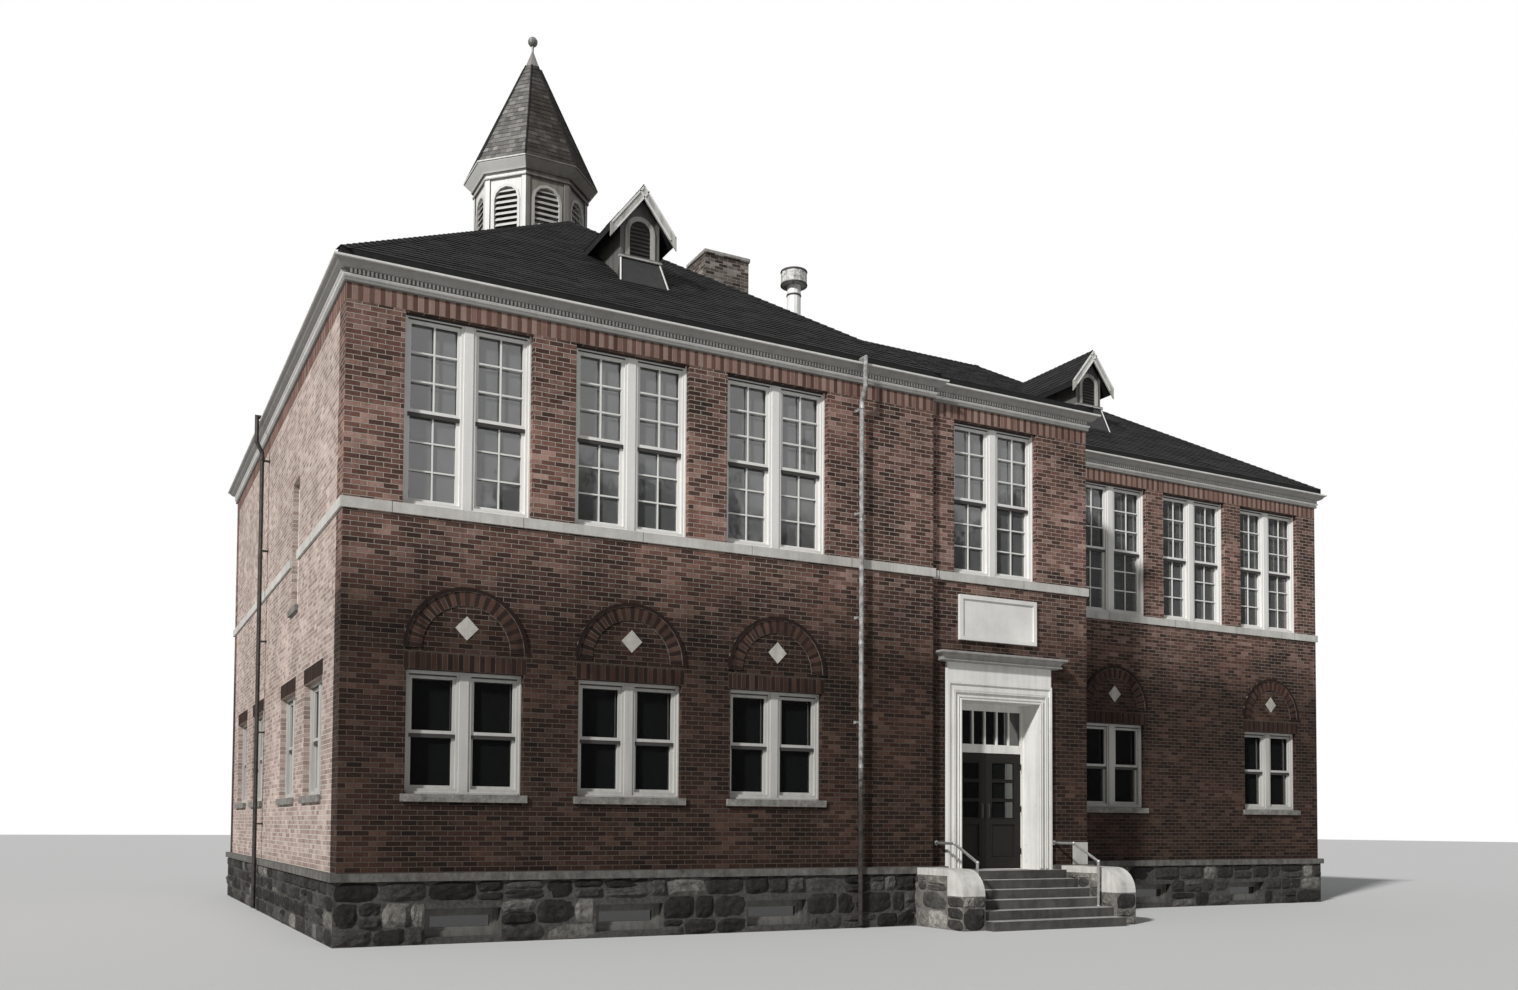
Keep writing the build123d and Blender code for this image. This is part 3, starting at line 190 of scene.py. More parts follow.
# Painted shade on every face not turned to the left, where the lamp stands.
shade_side = between(weather_and_shade, part_of(weather_and_shade, coordinate.outputs["Normal"], "X"), -0.5, -0.1)
dark = calc(weather_and_shade, "MULTIPLY", blotch, weather_shade_in.outputs["Blotches"])
for mask, title in ((shade_side, "Shade side"), (streak, "Streaks"), (low_shade, "Low shade"), (grain, "Grain")):
    share = calc(weather_and_shade, "MULTIPLY", mask, weather_shade_in.outputs[title])
    dark = calc(weather_and_shade, "ADD", dark, share, title == "Grain")
darker = blend(weather_and_shade, 1.0, weather_shade_in.outputs["Color"], (0.20, 0.182, 0.165, 1), "MULTIPLY")
weather_and_shade.links.new(blend(weather_and_shade, dark, weather_shade_in.outputs["Color"], darker), weather_shade_out.inputs[0])

# Coursing lays a bond flat on any upright wall, along x or y by the way the wall faces. Joint is 1 in the
# mortar, and Tint is one value a brick.
coursing, course_in, course_out = new_group(
    "coursing",
    [("Width", "NodeSocketFloat", 0.21), ("Course", "NodeSocketFloat", 0.07),
     ("Joint", "NodeSocketFloat", 0.005), ("Waviness", "NodeSocketFloat", 0.006)],
    [("Joint", "NodeSocketFloat"), ("Tint", "NodeSocketFloat")])
coordinate = coursing.nodes.new("ShaderNodeTexCoord")
place = put(coursing, "ShaderNodeSeparateXYZ", {0: coordinate.outputs["Object"]})
facing = put(coursing, "ShaderNodeSeparateXYZ", {0: coordinate.outputs["Normal"]})
sideways = calc(coursing, "GREATER_THAN", calc(coursing, "ABSOLUTE", facing.outputs[0]), 0.7)
across = put(coursing, "ShaderNodeMix", {0: sideways, 2: place.outputs[0], 3: place.outputs[1]})
flat = put(coursing, "ShaderNodeCombineXYZ", {0: across.outputs[0], 1: place.outputs[2]}).outputs[0]
wander = put(coursing, "ShaderNodeTexNoise", {"Vector": flat, "Scale": 14.0, "Detail": 2.0}).outputs["Color"]
wander = put(coursing, "ShaderNodeVectorMath", {0: wander, 1: (0.5, 0.5, 0.5)}, operation="SUBTRACT")
wander = put(coursing, "ShaderNodeVectorMath", {0: wander.outputs[0], "Scale": course_in.outputs["Waviness"]},
             operation="SCALE")
laid = put(coursing, "ShaderNodeVectorMath", {0: flat, 1: wander.outputs[0]}, operation="ADD").outputs[0]
courses = put(coursing, "ShaderNodeTexBrick",
              {"Vector": laid, "Color1": (0, 0, 0, 1), "Color2": (1, 1, 1, 1), "Mortar": (0.5, 0.5, 0.5, 1),
               "Scale": 1.0, "Mortar Size": course_in.outputs["Joint"], "Mortar Smooth": 0.3,
               "Brick Width": course_in.outputs["Width"], "Row Height": course_in.outputs["Course"]})
coursing.links.new(courses.outputs["Fac"], course_out.inputs[0])
coursing.links.new(courses.outputs["Color"], course_out.inputs[1])


def stone_look(name, low, high, rough, depth, scale=9.0, joints=0.0, streaks=0.3, low_shade=0.0):
    """Natural stone: two tones, fine grain and a rock face as deep as depth, with painted shade towards the
    ground as strong as low_shade.
    """
    material, tree, shader, spot = look(name, rough)
    broad = noise(tree, spot, scale, 8.0, 0.65)
    fine = noise(tree, spot, 90.0, 4.0, 0.7)
    colour = ramp(tree, broad, (0.28, low), (0.72, high))
    colour = blend(tree, 0.35, colour, ramp(tree, fine, (0.3, 0.45), (0.7, 1.0)), "MULTIPLY")
    height = calc(tree, "ADD", broad, calc(tree, "MULTIPLY", fine, 0.15))
    if joints:
        butted = {"Width": joints, "Course": 40.0, "Joint": 0.005, "Waviness": 0.003}
        blocks = use_group(tree, coursing, butted)
        colour = blend(tree, blocks.outputs[0], colour, (0.10, 0.09, 0.08, 1))
        height = calc(tree, "SUBTRACT", height, blocks.outputs[0])
    wear_and_shade = {"Color": colour, "Blotches": 0.3, "Streaks": streaks, "Grain": 0.15, "Low shade": low_shade}
    feed(tree, use_group(tree, weather_and_shade, wear_and_shade).outputs[0], shader, "Base Color")
    feed(tree, relief(tree, height, depth, 0.9), shader, "Normal")
    return material


def dress(material, *nodes):
    """Give CAD nodes that keep their shape their finish."""
    for name in nodes:
        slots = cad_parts[name].data.materials
        slots.clear()
        slots.append(material)


def finish(mesh, name, material, bevel=0.0, smooth=False, body="building", recalculate=True):
    """Turn a bmesh into a piece that rides on a body."""
    if bevel:
        sharp = 0.6
        edges = [e for e in mesh.edges if len(e.link_faces) == 2 and e.calc_face_angle(0) > sharp]
        bmesh.ops.bevel(mesh, geom=edges, offset=bevel, affect="EDGES", segments=1, profile=0.5, material=-1)
    if recalculate:
        bmesh.ops.recalc_face_normals(mesh, faces=mesh.faces)
    data = bpy.data.meshes.new(name)
    mesh.to_mesh(data)
    mesh.free()
    if smooth:
        data.shade_smooth()
    piece = bpy.data.objects.new(name, data)
    bpy.context.scene.collection.objects.link(piece)
    data.materials.append(material)
    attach(piece, body)
    return piece


def toned_mesh():
    """A new mesh whose points carry a tone of their own."""
    mesh = bmesh.new()
    mesh.verts.layers.float.new("tone")
    return mesh


def tone(mesh, verts, value):
    layer = mesh.verts.layers.float["tone"]
    for vert in verts:
        vert[layer] = value


def own_tone(tree):
    return put(tree, "ShaderNodeAttribute", attribute_name="tone").outputs["Fac"]


def field_stone(mesh, wall, u0, u1, out, z0, z1):
    """One stone: a broken, pushed-out face whose rim falls back into the mortar."""
    drawn_in, rim_sunk, rough_by, ragged = 0.09, -0.003, 0.011, (0.009, 0.008)
    verts = bmesh.ops.create_grid(mesh, x_segments=5, y_segments=4, size=1)["verts"]
    bulge = chance.uniform(0.010, 0.045)
    lean, tip = chance.uniform(-0.014, 0.014), chance.uniform(-0.012, 0.012)
    for vert in verts:
        s, t = vert.co.x, vert.co.y
        rim = max(abs(s), abs(t)) > 0.99
        wide, tall = s * (1 - drawn_in * t * t), t * (1 - drawn_in * s * s)
        proud = rim_sunk if rim else bulge + lean * s + tip * t + chance.uniform(-rough_by, rough_by)
        u = (u0 + u1) / 2 + (u1 - u0) / 2 * wide + chance.uniform(-ragged[0], ragged[0])
        z = (z0 + z1) / 2 + (z1 - z0) / 2 * tall + chance.uniform(-ragged[1], ragged[1])
        vert.co = wall.point(u, out + proud, z)
    tone(mesh, verts, chance.random())


def rubble(mesh, wall, u0, u1, out, z0, z1, holes=()):
    """Fill a stretch of wall with stones of all sizes, breaking the courses at holes."""
    low_course, high_course, thin_course = 0.19, 0.36, 0.09
    short_stone, long_stone, stub = 0.20, 0.75, 0.14
    joint, slack, split_share = 0.001, 0.02, 0.25
    z = z0
    while z < z1 - 0.05:
        top = min(z1, z + chance.uniform(low_course, high_course))
        if z1 - top < thin_course:
            top = z1
        gaps = sorted((a, b) for a, b, low, high in holes if low < top - slack and high > z + slack)
        edges = [u0] + [value for gap in gaps for value in gap] + [u1]
        for start, end in zip(edges[::2], edges[1::2]):
            u = start
            while u < end - 2 * slack:
                right = min(end, u + chance.uniform(short_stone, long_stone))
                if end - right < stub:
                    right = end
                middle = z + (top - z) * chance.uniform(0.4, 0.6)
                split = top - z > 0.2 and chance.random() < split_share
                rows = [(z, middle), (middle, top)] if split else [(z, top)]
                for low, high in rows:
                    field_stone(mesh, wall, u + joint, right - joint, out, low + joint, high - joint)
                u = right
        z = top


# The rubble mortar is painted very dark as shade.
shaded_rubble_mortar = stone_look("shaded_rubble_mortar", (0.045, 0.043, 0.040, 1), (0.13, 0.125, 0.115, 1), 0.95, 0.012,
                           20.0)
dress(shaded_rubble_mortar, "foundation_left_wing", "foundation_main")


def rubble_look(name, *tones):
    """Broken stone: each stone a tone of its own, with lichen, stains and a rough face."""
    material, tree, shader, spot = look(name, 0.9)
    own = own_tone(tree)
    lumps = noise(tree, spot, 11.0, 8.0, 0.68)
    grit = noise(tree, spot, 70.0, 4.0, 0.7)
    mottled = ramp(tree, lumps, (0.32, 0.35), (0.68, 1.5))
    colour = blend(tree, 0.85, ramp(tree, own, *tones), mottled, "MULTIPLY")
    wear_and_shade = {"Color": colour, "Blotches": 0.3, "Grain": 0.2}
    feed(tree, use_group(tree, weather_and_shade, wear_and_shade).outputs[0], shader, "Base Color")
    rough = calc(tree, "ADD", lumps, calc(tree, "MULTIPLY", grit, 0.25))
    feed(tree, relief(tree, rough, 0.05, 1.0), shader, "Normal")
    return material


# The basement stones' tones are painted dark as shade.
shaded_rubble_face = rubble_look("shaded_rubble_face", (0.0, (0.022, 0.021, 0.020, 1)), (0.5, (0.050, 0.047, 0.043, 1)),
                          (0.85, (0.10, 0.095, 0.087, 1)), (1.0, (0.26, 0.25, 0.225, 1)))

foundation_out, rubble_top = 0.04, 0.86
cellar_half, cellar_sill, cellar_head = 0.53, 0.09, 0.48
wing_row = [1.69, 4.15, 6.61]
cellar_main = [19.19, 16.42]
cheeks_left, cheeks_right = 9.22, 12.85
wing_end, bay_end = wing_right + foundation_out, bay_right + foundation_out
main_end = main_right + foundation_out
wing_rear, main_rear = wing_back + foundation_out, main_back + foundation_out
bay_front, main_front = bay_face - foundation_out, main_face - foundation_out
mesh = toned_mesh()
for wall, u0, u1, row in ((front_wing, -foundation_out, cheeks_left, wing_row),
                          (front_bay, cheeks_right, bay_end, []),
                          (front_main, bay_end, main_end, cellar_main),
                          (left_side, -foundation_out, wing_rear, []),
                          (back_wing, -foundation_out, wing_end, []), (back_main, wing_end, main_end, []),
                          (right_end, main_front, main_rear, []), (bay_side, bay_front, main_front, []),
                          (back_return, main_rear, wing_rear, [])):
    holes = [(u - cellar_half, u + cellar_half, cellar_sill, cellar_head) for u in row]
    rubble(mesh, wall, u0, u1, foundation_out, 0.0, rubble_top, holes)
finish(mesh, "rubble_stones", shaded_rubble_face)

# Stone courses: a rock-faced water table on top of the rubble, painted darker as shade, rough sills under the
# lower windows, and a sawn limestone belt course that serves as the upper windows' sill. Long blocks butted
# end to end.
# The water table's dark tones are painted shade.
shaded_water_table_stone = stone_look("shaded_water_table_stone", (0.085, 0.081, 0.074, 1), (0.24, 0.23, 0.21, 1), 0.9,
                               0.035, 6.0, joints=1.12)
sill_stone = stone_look("sill_stone", (0.13, 0.125, 0.115, 1), (0.40, 0.385, 0.35, 1), 0.9, 0.03, 8.0)
belt_stone = stone_look("belt_stone", (0.58, 0.565, 0.52, 1), (0.76, 0.745, 0.70, 1), 0.8, 0.002, 3.0,
                        joints=1.83, streaks=0.18)
dress(shaded_water_table_stone, "water_table")
dress(sill_stone, "window_sills")
dress(belt_stone, "belt_course", "cornerstone")

# Floors: a concrete slab in the basement and narrow varnished boards on both storeys and in the attic.
concrete = stone_look("concrete", (0.34, 0.33, 0.31, 1), (0.44, 0.43, 0.41, 1), 0.9, 0.003, 5.0)
dress(concrete, "basement_floor")
boards, tree, shader, spot = look("floor_boards", 0.5)
planks = put(tree, "ShaderNodeTexBrick",
             {"Vector": spot, "Color1": (0, 0, 0, 1), "Color2": (1, 1, 1, 1), "Mortar": (0.5, 0.5, 0.5, 1),
              "Scale": 1.0, "Mortar Size": 0.0015, "Brick Width": 3.6, "Row Height": 0.09})
grain = noise(tree, stretched(tree, spot, 1.5, 30.0, 30.0), 1.0, 6.0)
colour = ramp(tree, planks.outputs["Color"], (0.0, (0.20, 0.12, 0.06, 1)), (1.0, (0.34, 0.22, 0.12, 1)))
colour = blend(tree, 0.4, colour, ramp(tree, grain, (0.3, 0.5), (0.7, 1.0)), "MULTIPLY")
feed(tree, blend(tree, planks.outputs["Fac"], colour, (0.03, 0.02, 0.01, 1)), shader, "Base Color")
feed(tree, relief(tree, grain, 0.001, 0.5), shader, "Normal")
dress(boards, "ground_floor", "upper_floor", "attic_floor")


# Brick walls: dark red clay bricks, 200 by 60 mm, laid in running bond in pale lime mortar, with painted
# shade growing darker towards the ground. The left side wall is painted in paler tones, as lit by the lamp.
def brick_look(name, tones, mortar, low_shade, pale=0.9):
    material, tree, shader, spot = look(name, 0.88)
    running = use_group(tree, coursing, {"Joint": 0.0055})
    joint, tint = running.outputs["Joint"], running.outputs["Tint"]
    mottled = noise(tree, spot, 35.0, 5.0, 0.7)
    face = ramp(tree, mottled, (0.3, 0.35), (0.7, 1.1))
    face = blend(tree, 0.55, ramp(tree, tint, *tones), face, "MULTIPLY")
    worn_patch = ramp(tree, noise(tree, spot, 0.8, 6.0, 0.7), (0.38, 0.42), (0.64, 1.5))
    face = blend(tree, pale, face, worn_patch, "MULTIPLY")
    wear_and_shade = {"Color": blend(tree, joint, face, mortar), "Blotches": 0.2, "Streaks": 0.15, "Grain": 0.1,
            "Low shade": low_shade}
    feed(tree, use_group(tree, weather_and_shade, wear_and_shade).outputs[0], shader, "Base Color")
    mortar_depth = relief(tree, calc(tree, "SUBTRACT", 1.0, joint), 0.008, 0.9)
    feed(tree, relief(tree, mottled, 0.003, 0.6, mortar_depth), shader, "Normal")
    return material


brick_tones = ((0.0, (0.070, 0.037, 0.030, 1)), (0.3, (0.135, 0.068, 0.052, 1)),
               (0.7, (0.215, 0.112, 0.086, 1)), (1.0, (0.36, 0.225, 0.185, 1)))
# Paler tones and mortar for the left side wall: painted sunlight.
painted_sunlit_tones = ((0.0, (0.36, 0.26, 0.225, 1)), (0.5, (0.53, 0.40, 0.345, 1)), (1.0, (0.68, 0.55, 0.49, 1)))
# Red brick takes full painted shade on the lower walls.
brick = brick_look("red_brick", brick_tones, (0.42, 0.385, 0.335, 1), 1.0)
painted_sunlit_brick = brick_look("painted_sunlit_brick", painted_sunlit_tones, (0.70, 0.67, 0.61, 1), 0.1, 0.35)
dress(brick, "left_wing_front_wall", "left_wing_back_wall", "main_front_wall", "main_end_wall",
      "main_back_wall", "entrance_left_pier", "entrance_right_pier", "entrance_upper_wall",
      "entrance_side_wall")
dress(painted_sunlit_brick, "left_wing_side_wall")

# Soldier courses: bricks stood on end, under the cornice all round and as lintels over the lower windows.
# Each is a brick of its own on a bed of mortar.
single_brick, tree, shader, spot = look("single_brick", 0.88)
own = own_tone(tree)
colour = ramp(tree, own, (0.0, (0.050, 0.027, 0.022, 1)), (0.4, (0.13, 0.066, 0.050, 1)),
              (0.75, (0.24, 0.13, 0.10, 1)), (0.99, (0.38, 0.25, 0.21, 1)), (1.0, (0.42, 0.385, 0.335, 1)))
mottled = ramp(tree, noise(tree, spot, 40.0, 5.0, 0.7), (0.3, 0.4), (0.7, 1.0))
colour = blend(tree, 0.5, colour, mottled, "MULTIPLY")
# Painted shade darkens the soldier bricks towards the ground.
low_shaded = use_group(tree, weather_and_shade, {"Color": colour, "Streaks": 0.2, "Low shade": 0.8}).outputs[0]
feed(tree, low_shaded, shader, "Base Color")
feed(tree, relief(tree, noise(tree, spot, 60.0, 4.0), 0.003, 0.7), shader, "Normal")

bay_window = 11.03
main_row = [20.01, 17.725, 15.44]
side_row = [2.19, 4.79, 8.82, 11.48]
back_row = [2.2, 4.8, 7.4]
main_back_row = [11.4, 14.17, 16.94, 19.71]
end_row = [4.25, 7.05, 9.85]
rear = [(back_wing, u) for u in back_row] + [(back_main, u) for u in main_back_row]
rear += [(right_end, u) for u in end_row]
upper_windows = [(front_wing, u) for u in wing_row] + [(front_bay, bay_window)]
upper_windows += [(front_main, u) for u in main_row] + rear
arched_windows = [(front_wing, u) for u in wing_row] + [(front_main, main_row[0]), (front_main, main_row[2])]
lower_windows = arched_windows + [(left_side, u) for u in side_row] + rear
mortar_tone, palest_brick = 1.0, 0.99


def batten(mesh, wall, u0, u1, out0, out1, z0, z1):
    """A straight bar, board or brick that lies along a wall plane."""
    a, b = wall.point(u0, out0, z0), wall.point(u1, out1, z1)
    size = Matrix.Diagonal((abs(b.x - a.x), abs(b.y - a.y), abs(b.z - a.z), 1))
    return bmesh.ops.create_cube(mesh, size=1, matrix=Matrix.Translation((a + b) / 2) @ size)["verts"]


def soldiers(mesh, wall, u0, u1, z0, z1, pale):
    """A row of upright bricks on their mortar bed, light and dark by turns."""
    brick_pitch, joint, brick_back, bed_back, bed_face = 0.0735, 0.005, -0.01, -0.02, 0.0006
    count = round((u1 - u0) / brick_pitch)
    step = (u1 - u0) / count
    tone(mesh, batten(mesh, wall, u0, u1, bed_back, bed_face, z0, z1), mortar_tone)
    for i in range(count):
        left, right = u0 + i * step + joint, u0 + i * step + step - joint
        value = pale + chance.uniform(0.1, 0.4) if i % 2 else pale - chance.uniform(0.05, 0.35)
        face = chance.uniform(0.002, 0.0055)
        verts = batten(mesh, wall, left, right, brick_back, face, z0 + joint, z1 - joint)
        tone(mesh, verts, min(palest_brick, value))


walls = [front_wing, front_bay, front_main, back_wing, back_main, left_side, right_end, bay_side, back_return]
cornice_foot = 8.884
upper_head, lower_head = 8.65, 3.74
lintel_half, lintel_gap, lintel_top = 0.86, 0.003, 3.975
mesh = toned_mesh()
for wall in walls:
    soldiers(mesh, wall, wall.start, wall.end, upper_head, cornice_foot, 0.7)
finish(mesh, "cornice_soldiers", single_brick)
mesh = toned_mesh()
for wall, u in lower_windows:
    soldiers(mesh, wall, u - lintel_half, u + lintel_half, lower_head + lintel_gap, lintel_top, 0.4)
finish(mesh, "window_lintels", single_brick)

# Blind arches over the front lower windows: a ring of bricks set on edge round a bricked-up half circle, with
# a thin dark hood course outside it and a glazed pale tile set cornerwise in the middle.
arch_spring = 4.04
voussoirs = (0.622, 0.818, 0.017, 33, 0.012, True)
hood_course = (0.822, 0.874, 0.034, 20, 0.004, False)
mesh = toned_mesh()
for wall, u in arched_windows:
    for inner, outer, proud, count, joint, toned in (voussoirs, hood_course):
        spread = pi / count
        for i in range(count):
            verts = bmesh.ops.create_cube(mesh, size=1)["verts"]
            front = proud + chance.uniform(-0.002, 0.002)
            for vert in verts:
                radius = (inner + outer) / 2 + vert.co.x * (outer - inner)
                turn = (i + 0.5) * spread + vert.co.z * (spread - joint / radius)
                out = 0.0 if vert.co.y > 0 else front
                vert.co = wall.point(u + radius * cos(turn), out, arch_spring + radius * sin(turn))
            pale = chance.uniform(0.45, 0.8) if i % 2 else chance.uniform(0.05, 0.3)
            tone(mesh, verts, pale if toned else 0.0)
finish(mesh, "arch_bricks", single_brick)
glazed_tile = stone_look("glazed_tile", (0.48, 0.46, 0.41, 1), (0.62, 0.60, 0.55, 1), 0.45, 0.001, 12.0)
dress(glazed_tile, "lozenge_tiles")
# The arch mortar takes painted shade towards the ground.
arch_mortar = stone_look("arch_mortar", (0.30, 0.275, 0.24, 1), (0.42, 0.385, 0.335, 1), 0.9, 0.004, 20.0,
                         low_shade=0.6)
dress(arch_mortar, "blind_arches")

# The tablet over the entrance: one slab of sawn limestone with a raised border, left bare. It is let into the
# brickwork with thin joints.
tablet_stone = stone_look("tablet_stone", (0.88, 0.87, 0.83, 1), (0.93, 0.92, 0.88, 1), 0.7, 0.001, 2.0,
                          streaks=0.05)
dress(tablet_stone, "blank_tablet")


# Windows: pine box frames and sliding sashes, painted white. Upper sashes are divided by thin bars, two panes
# wide and three high; lower windows have one sheet a sash. Moulded casings cover the joint with the brick.
def paint_look(name, colour, wear, rough=0.5, shade_side=0.0):
    """Oil paint on wood, with brush grain, grey flaking, run-off dirt and painted shade on sides not turned
    to the left.
    """
    material, tree, shader, spot = look(name, rough)
    brushed = noise(tree, stretched(tree, spot, 3.0, 3.0, 22.0), 3.0, 5.0)
    flaked = ramp(tree, noise(tree, spot, 7.0, 9.0, 0.75), (0.60, 0.0), (0.70, 1.0))
    coat = blend(tree, 0.25, colour, ramp(tree, brushed, (0.3, 0.75), (0.7, 1.0)), "MULTIPLY")
    coat = blend(tree, calc(tree, "MULTIPLY", flaked, wear), coat, (0.28, 0.26, 0.23, 1))
    wear_and_shade = {"Color": coat, "Blotches": wear * 0.5, "Streaks": wear * 0.6, "Grain": 0.04, "Shade side": shade_side}
    feed(tree, use_group(tree, weather_and_shade, wear_and_shade).outputs[0], shader, "Base Color")
    feed(tree, relief(tree, brushed, 0.0015, 0.5), shader, "Normal")
    return material


white_paint = paint_look("white_paint", (0.78, 0.77, 0.735, 1), 0.15)
cellar_paint = paint_look("cellar_paint", (0.17, 0.165, 0.15, 1), 0.8)
dull_paint = paint_look("dull_paint", (0.50, 0.49, 0.46, 1), 0.35)
dress(white_paint, "upper_window_frames", "stair_window_frame")
dress(dull_paint, "lower_window_frames")
dress(cellar_paint, "basement_window_frames")
# Near-black paint for strips that stand for shade.
rail_shadow = paint_look("shadow_strip_paint", (0.035, 0.033, 0.030, 1), 0.1)

reveal, frame_back = -0.11, -0.12
frame_face, frame_sill, mullion_half = 0.065, 0.08, 0.105
casing, sill_board, mullion_strip = 0.030, 0.034, 0.068
sash_rail, bar_half, bar_deep = 0.045, 0.011, 0.018
upper_sash, lower_sash, sash_overlap = -0.137, -0.173, 0.02
casing_out, sill_out, mullion_out, shadow_out = reveal + 0.018, reveal + 0.026, reveal + 0.016, reveal + 0.002
meeting_shade_back, meeting_shade_face, meeting_shade_below, meeting_shade_above = reveal - 0.055, reveal - 0.030, 0.075, 0.022
upper_sill, upper_half = 5.985, 0.905
lower_sill, lower_half = 2.04, 0.82
stair_window, stair_sill, stair_head, stair_half = 4.25, 5.12, 7.22, 0.36
bars, shadow_strips = bmesh.new(), bmesh.new()
bright_casings, dull_casings = bmesh.new(), bmesh.new()
windows = [(wall, u, upper_sill, upper_head, upper_half, True, True) for wall, u in upper_windows]
windows += [(wall, u, lower_sill, lower_head, lower_half, True, False) for wall, u in lower_windows]
windows.append((left_side, stair_window, stair_sill, stair_head, stair_half, False, True))
for wall, u, low, high, half, paired, barred in windows:
    left, right = u - half + frame_face, u + half - frame_face
    bays = [(left, u - mullion_half), (u + mullion_half, right)] if paired else [(left, right)]
    foot, head = low + frame_sill, high - frame_face
    middle = (foot + head) / 2
    near, far = u - half + casing, u + half - casing
    casings = bright_casings if barred else dull_casings
    for a, b in ((u - half, near), (far, u + half)):
        batten(casings, wall, a, b, frame_back, casing_out, low, high)
    # On barred windows the head casing joins the near-black strips as painted shade under the lintel.
    batten(shadow_strips if barred else casings, wall, near, far, frame_back, casing_out, high - casing, high)
    batten(casings, wall, near, far, frame_back, sill_out, low, low + sill_board)
    if paired:
        batten(casings, wall, u - mullion_strip, u + mullion_strip, frame_back, mullion_out,
               low + sill_board, high - casing)
    for a, b in bays:
        # Near-black strips: painted shade under each meeting rail and under each frame head.
        batten(shadow_strips, wall, a, b, meeting_shade_back, meeting_shade_face, middle - meeting_shade_below, middle - meeting_shade_above)
        batten(shadow_strips, wall, a - 0.004, b + 0.004, frame_back, shadow_out, head - 0.006, head + 0.014)
        if not barred:
            continue
        centre = (a + b) / 2
        upper_light = (middle + sash_overlap, head - sash_rail)
        lower_light = (foot + sash_rail, middle - sash_overlap)
        for (z0, z1), out in ((upper_light, upper_sash), (lower_light, lower_sash)):
            batten(bars, wall, centre - bar_half, centre + bar_half, out - bar_deep, out, z0, z1)
            for k in (1, 2):
                z = z0 + (z1 - z0) * k / 3
                batten(bars, wall, a + sash_rail, b - sash_rail, out - bar_deep, out - 0.002, z - bar_half,
                       z + bar_half)
finish(bars, "sash_bars", white_paint)
finish(bright_casings, "upper_casings", white_paint, bevel=0.004)
finish(dull_casings, "lower_casings", dull_paint, bevel=0.004)
finish(shadow_strips, "painted_shadow_strips", rail_shadow)

# Panes: old drawn sheet glass, slightly wavy, puttied into the sashes. Behind it the rooms are dark, and the
# upper storey's panes have a pale film of dust.
upstairs_middle, upstairs_reach = 7.3, 2.0
sheet_glass, tree, shader, spot = look("sheet_glass", 0.02)
shader.inputs["Metallic"].default_value = 0.0
shader.inputs["Transmission Weight"].default_value = 0.6
shader.inputs["IOR"].default_value = 2.15
film = noise(tree, spot, 3.5, 5.0, 0.65)
dust = ramp(tree, film, (0.3, (0.20, 0.21, 0.205, 1)), (0.75, (0.28, 0.29, 0.28, 1)))
upstairs = put(tree, "ShaderNodeMath", {0: part_of(tree, spot, "Z"), 1: upstairs_middle, 2: upstairs_reach},
               operation="COMPARE").outputs[0]
feed(tree, blend(tree, upstairs, (0.02, 0.021, 0.021, 1), dust), shader, "Base Color")
feed(tree, ramp(tree, film, (0.4, 0.01), (0.8, 0.05)), shader, "Roughness")
feed(tree, relief(tree, noise(tree, spot, 2.2, 2.0), 0.004, 0.35), shader, "Normal")
dress(sheet_glass, "window_glass", "left_door_glass", "right_door_glass")


# Cornice: moulded pine planks mitred at every corner, painted white with bands of painted shade: a double bed
# moulding, a band of fine dentils, and a deep crown that leans out to a thin top fillet.
def points_in(geom):
    return [part for part in geom if isinstance(part, bmesh.types.BMVert)]


def edges_in(geom):
    return [part for part in geom if isinstance(part, bmesh.types.BMEdge)]


def swept(mesh, plan, profile, closed):
    """Draw a line round a plan and pull it through the profile's (proud, height) steps."""
    corner = mesh.verts.layers.int.new("corner")
    proud, z = profile[0]
    verts = [mesh.verts.new(at(x, y, z)) for x, y in plan(proud)]
    for i, vert in enumerate(verts):
        vert[corner] = i
    count = len(verts)
    line = [mesh.edges.new((verts[i], verts[(i + 1) % count])) for i in range(count if closed else count - 1)]
    for proud, z in profile[1:]:
        made = bmesh.ops.extrude_edge_only(mesh, edges=line)["geom"]
        corners = plan(proud)
        moved = points_in(made)
        for vert in moved:
            x, y = corners[vert[corner]]
            vert.co = at(x, y, z)
        line = [e for e in edges_in(made) if all(v in moved for v in e.verts)]


def building_plan(g):
    """Corners of the building's walls, grown outwards."""
    left, front, wing_end, bay_end, main_end = -g, -g, wing_right + g, bay_right + g, main_right + g
    bay_front, main_front, main_rear, wing_rear = bay_face - g, main_face - g, main_back + g, wing_back + g
    return [(left, front), (wing_end, front), (wing_end, bay_front), (bay_end, bay_front),
            (bay_end, main_front), (main_end, main_front), (main_end, main_rear), (wing_end, main_rear),
            (wing_end, wing_rear), (left, wing_rear)]


cornice_height, cornice_reach = 0.286, 0.195
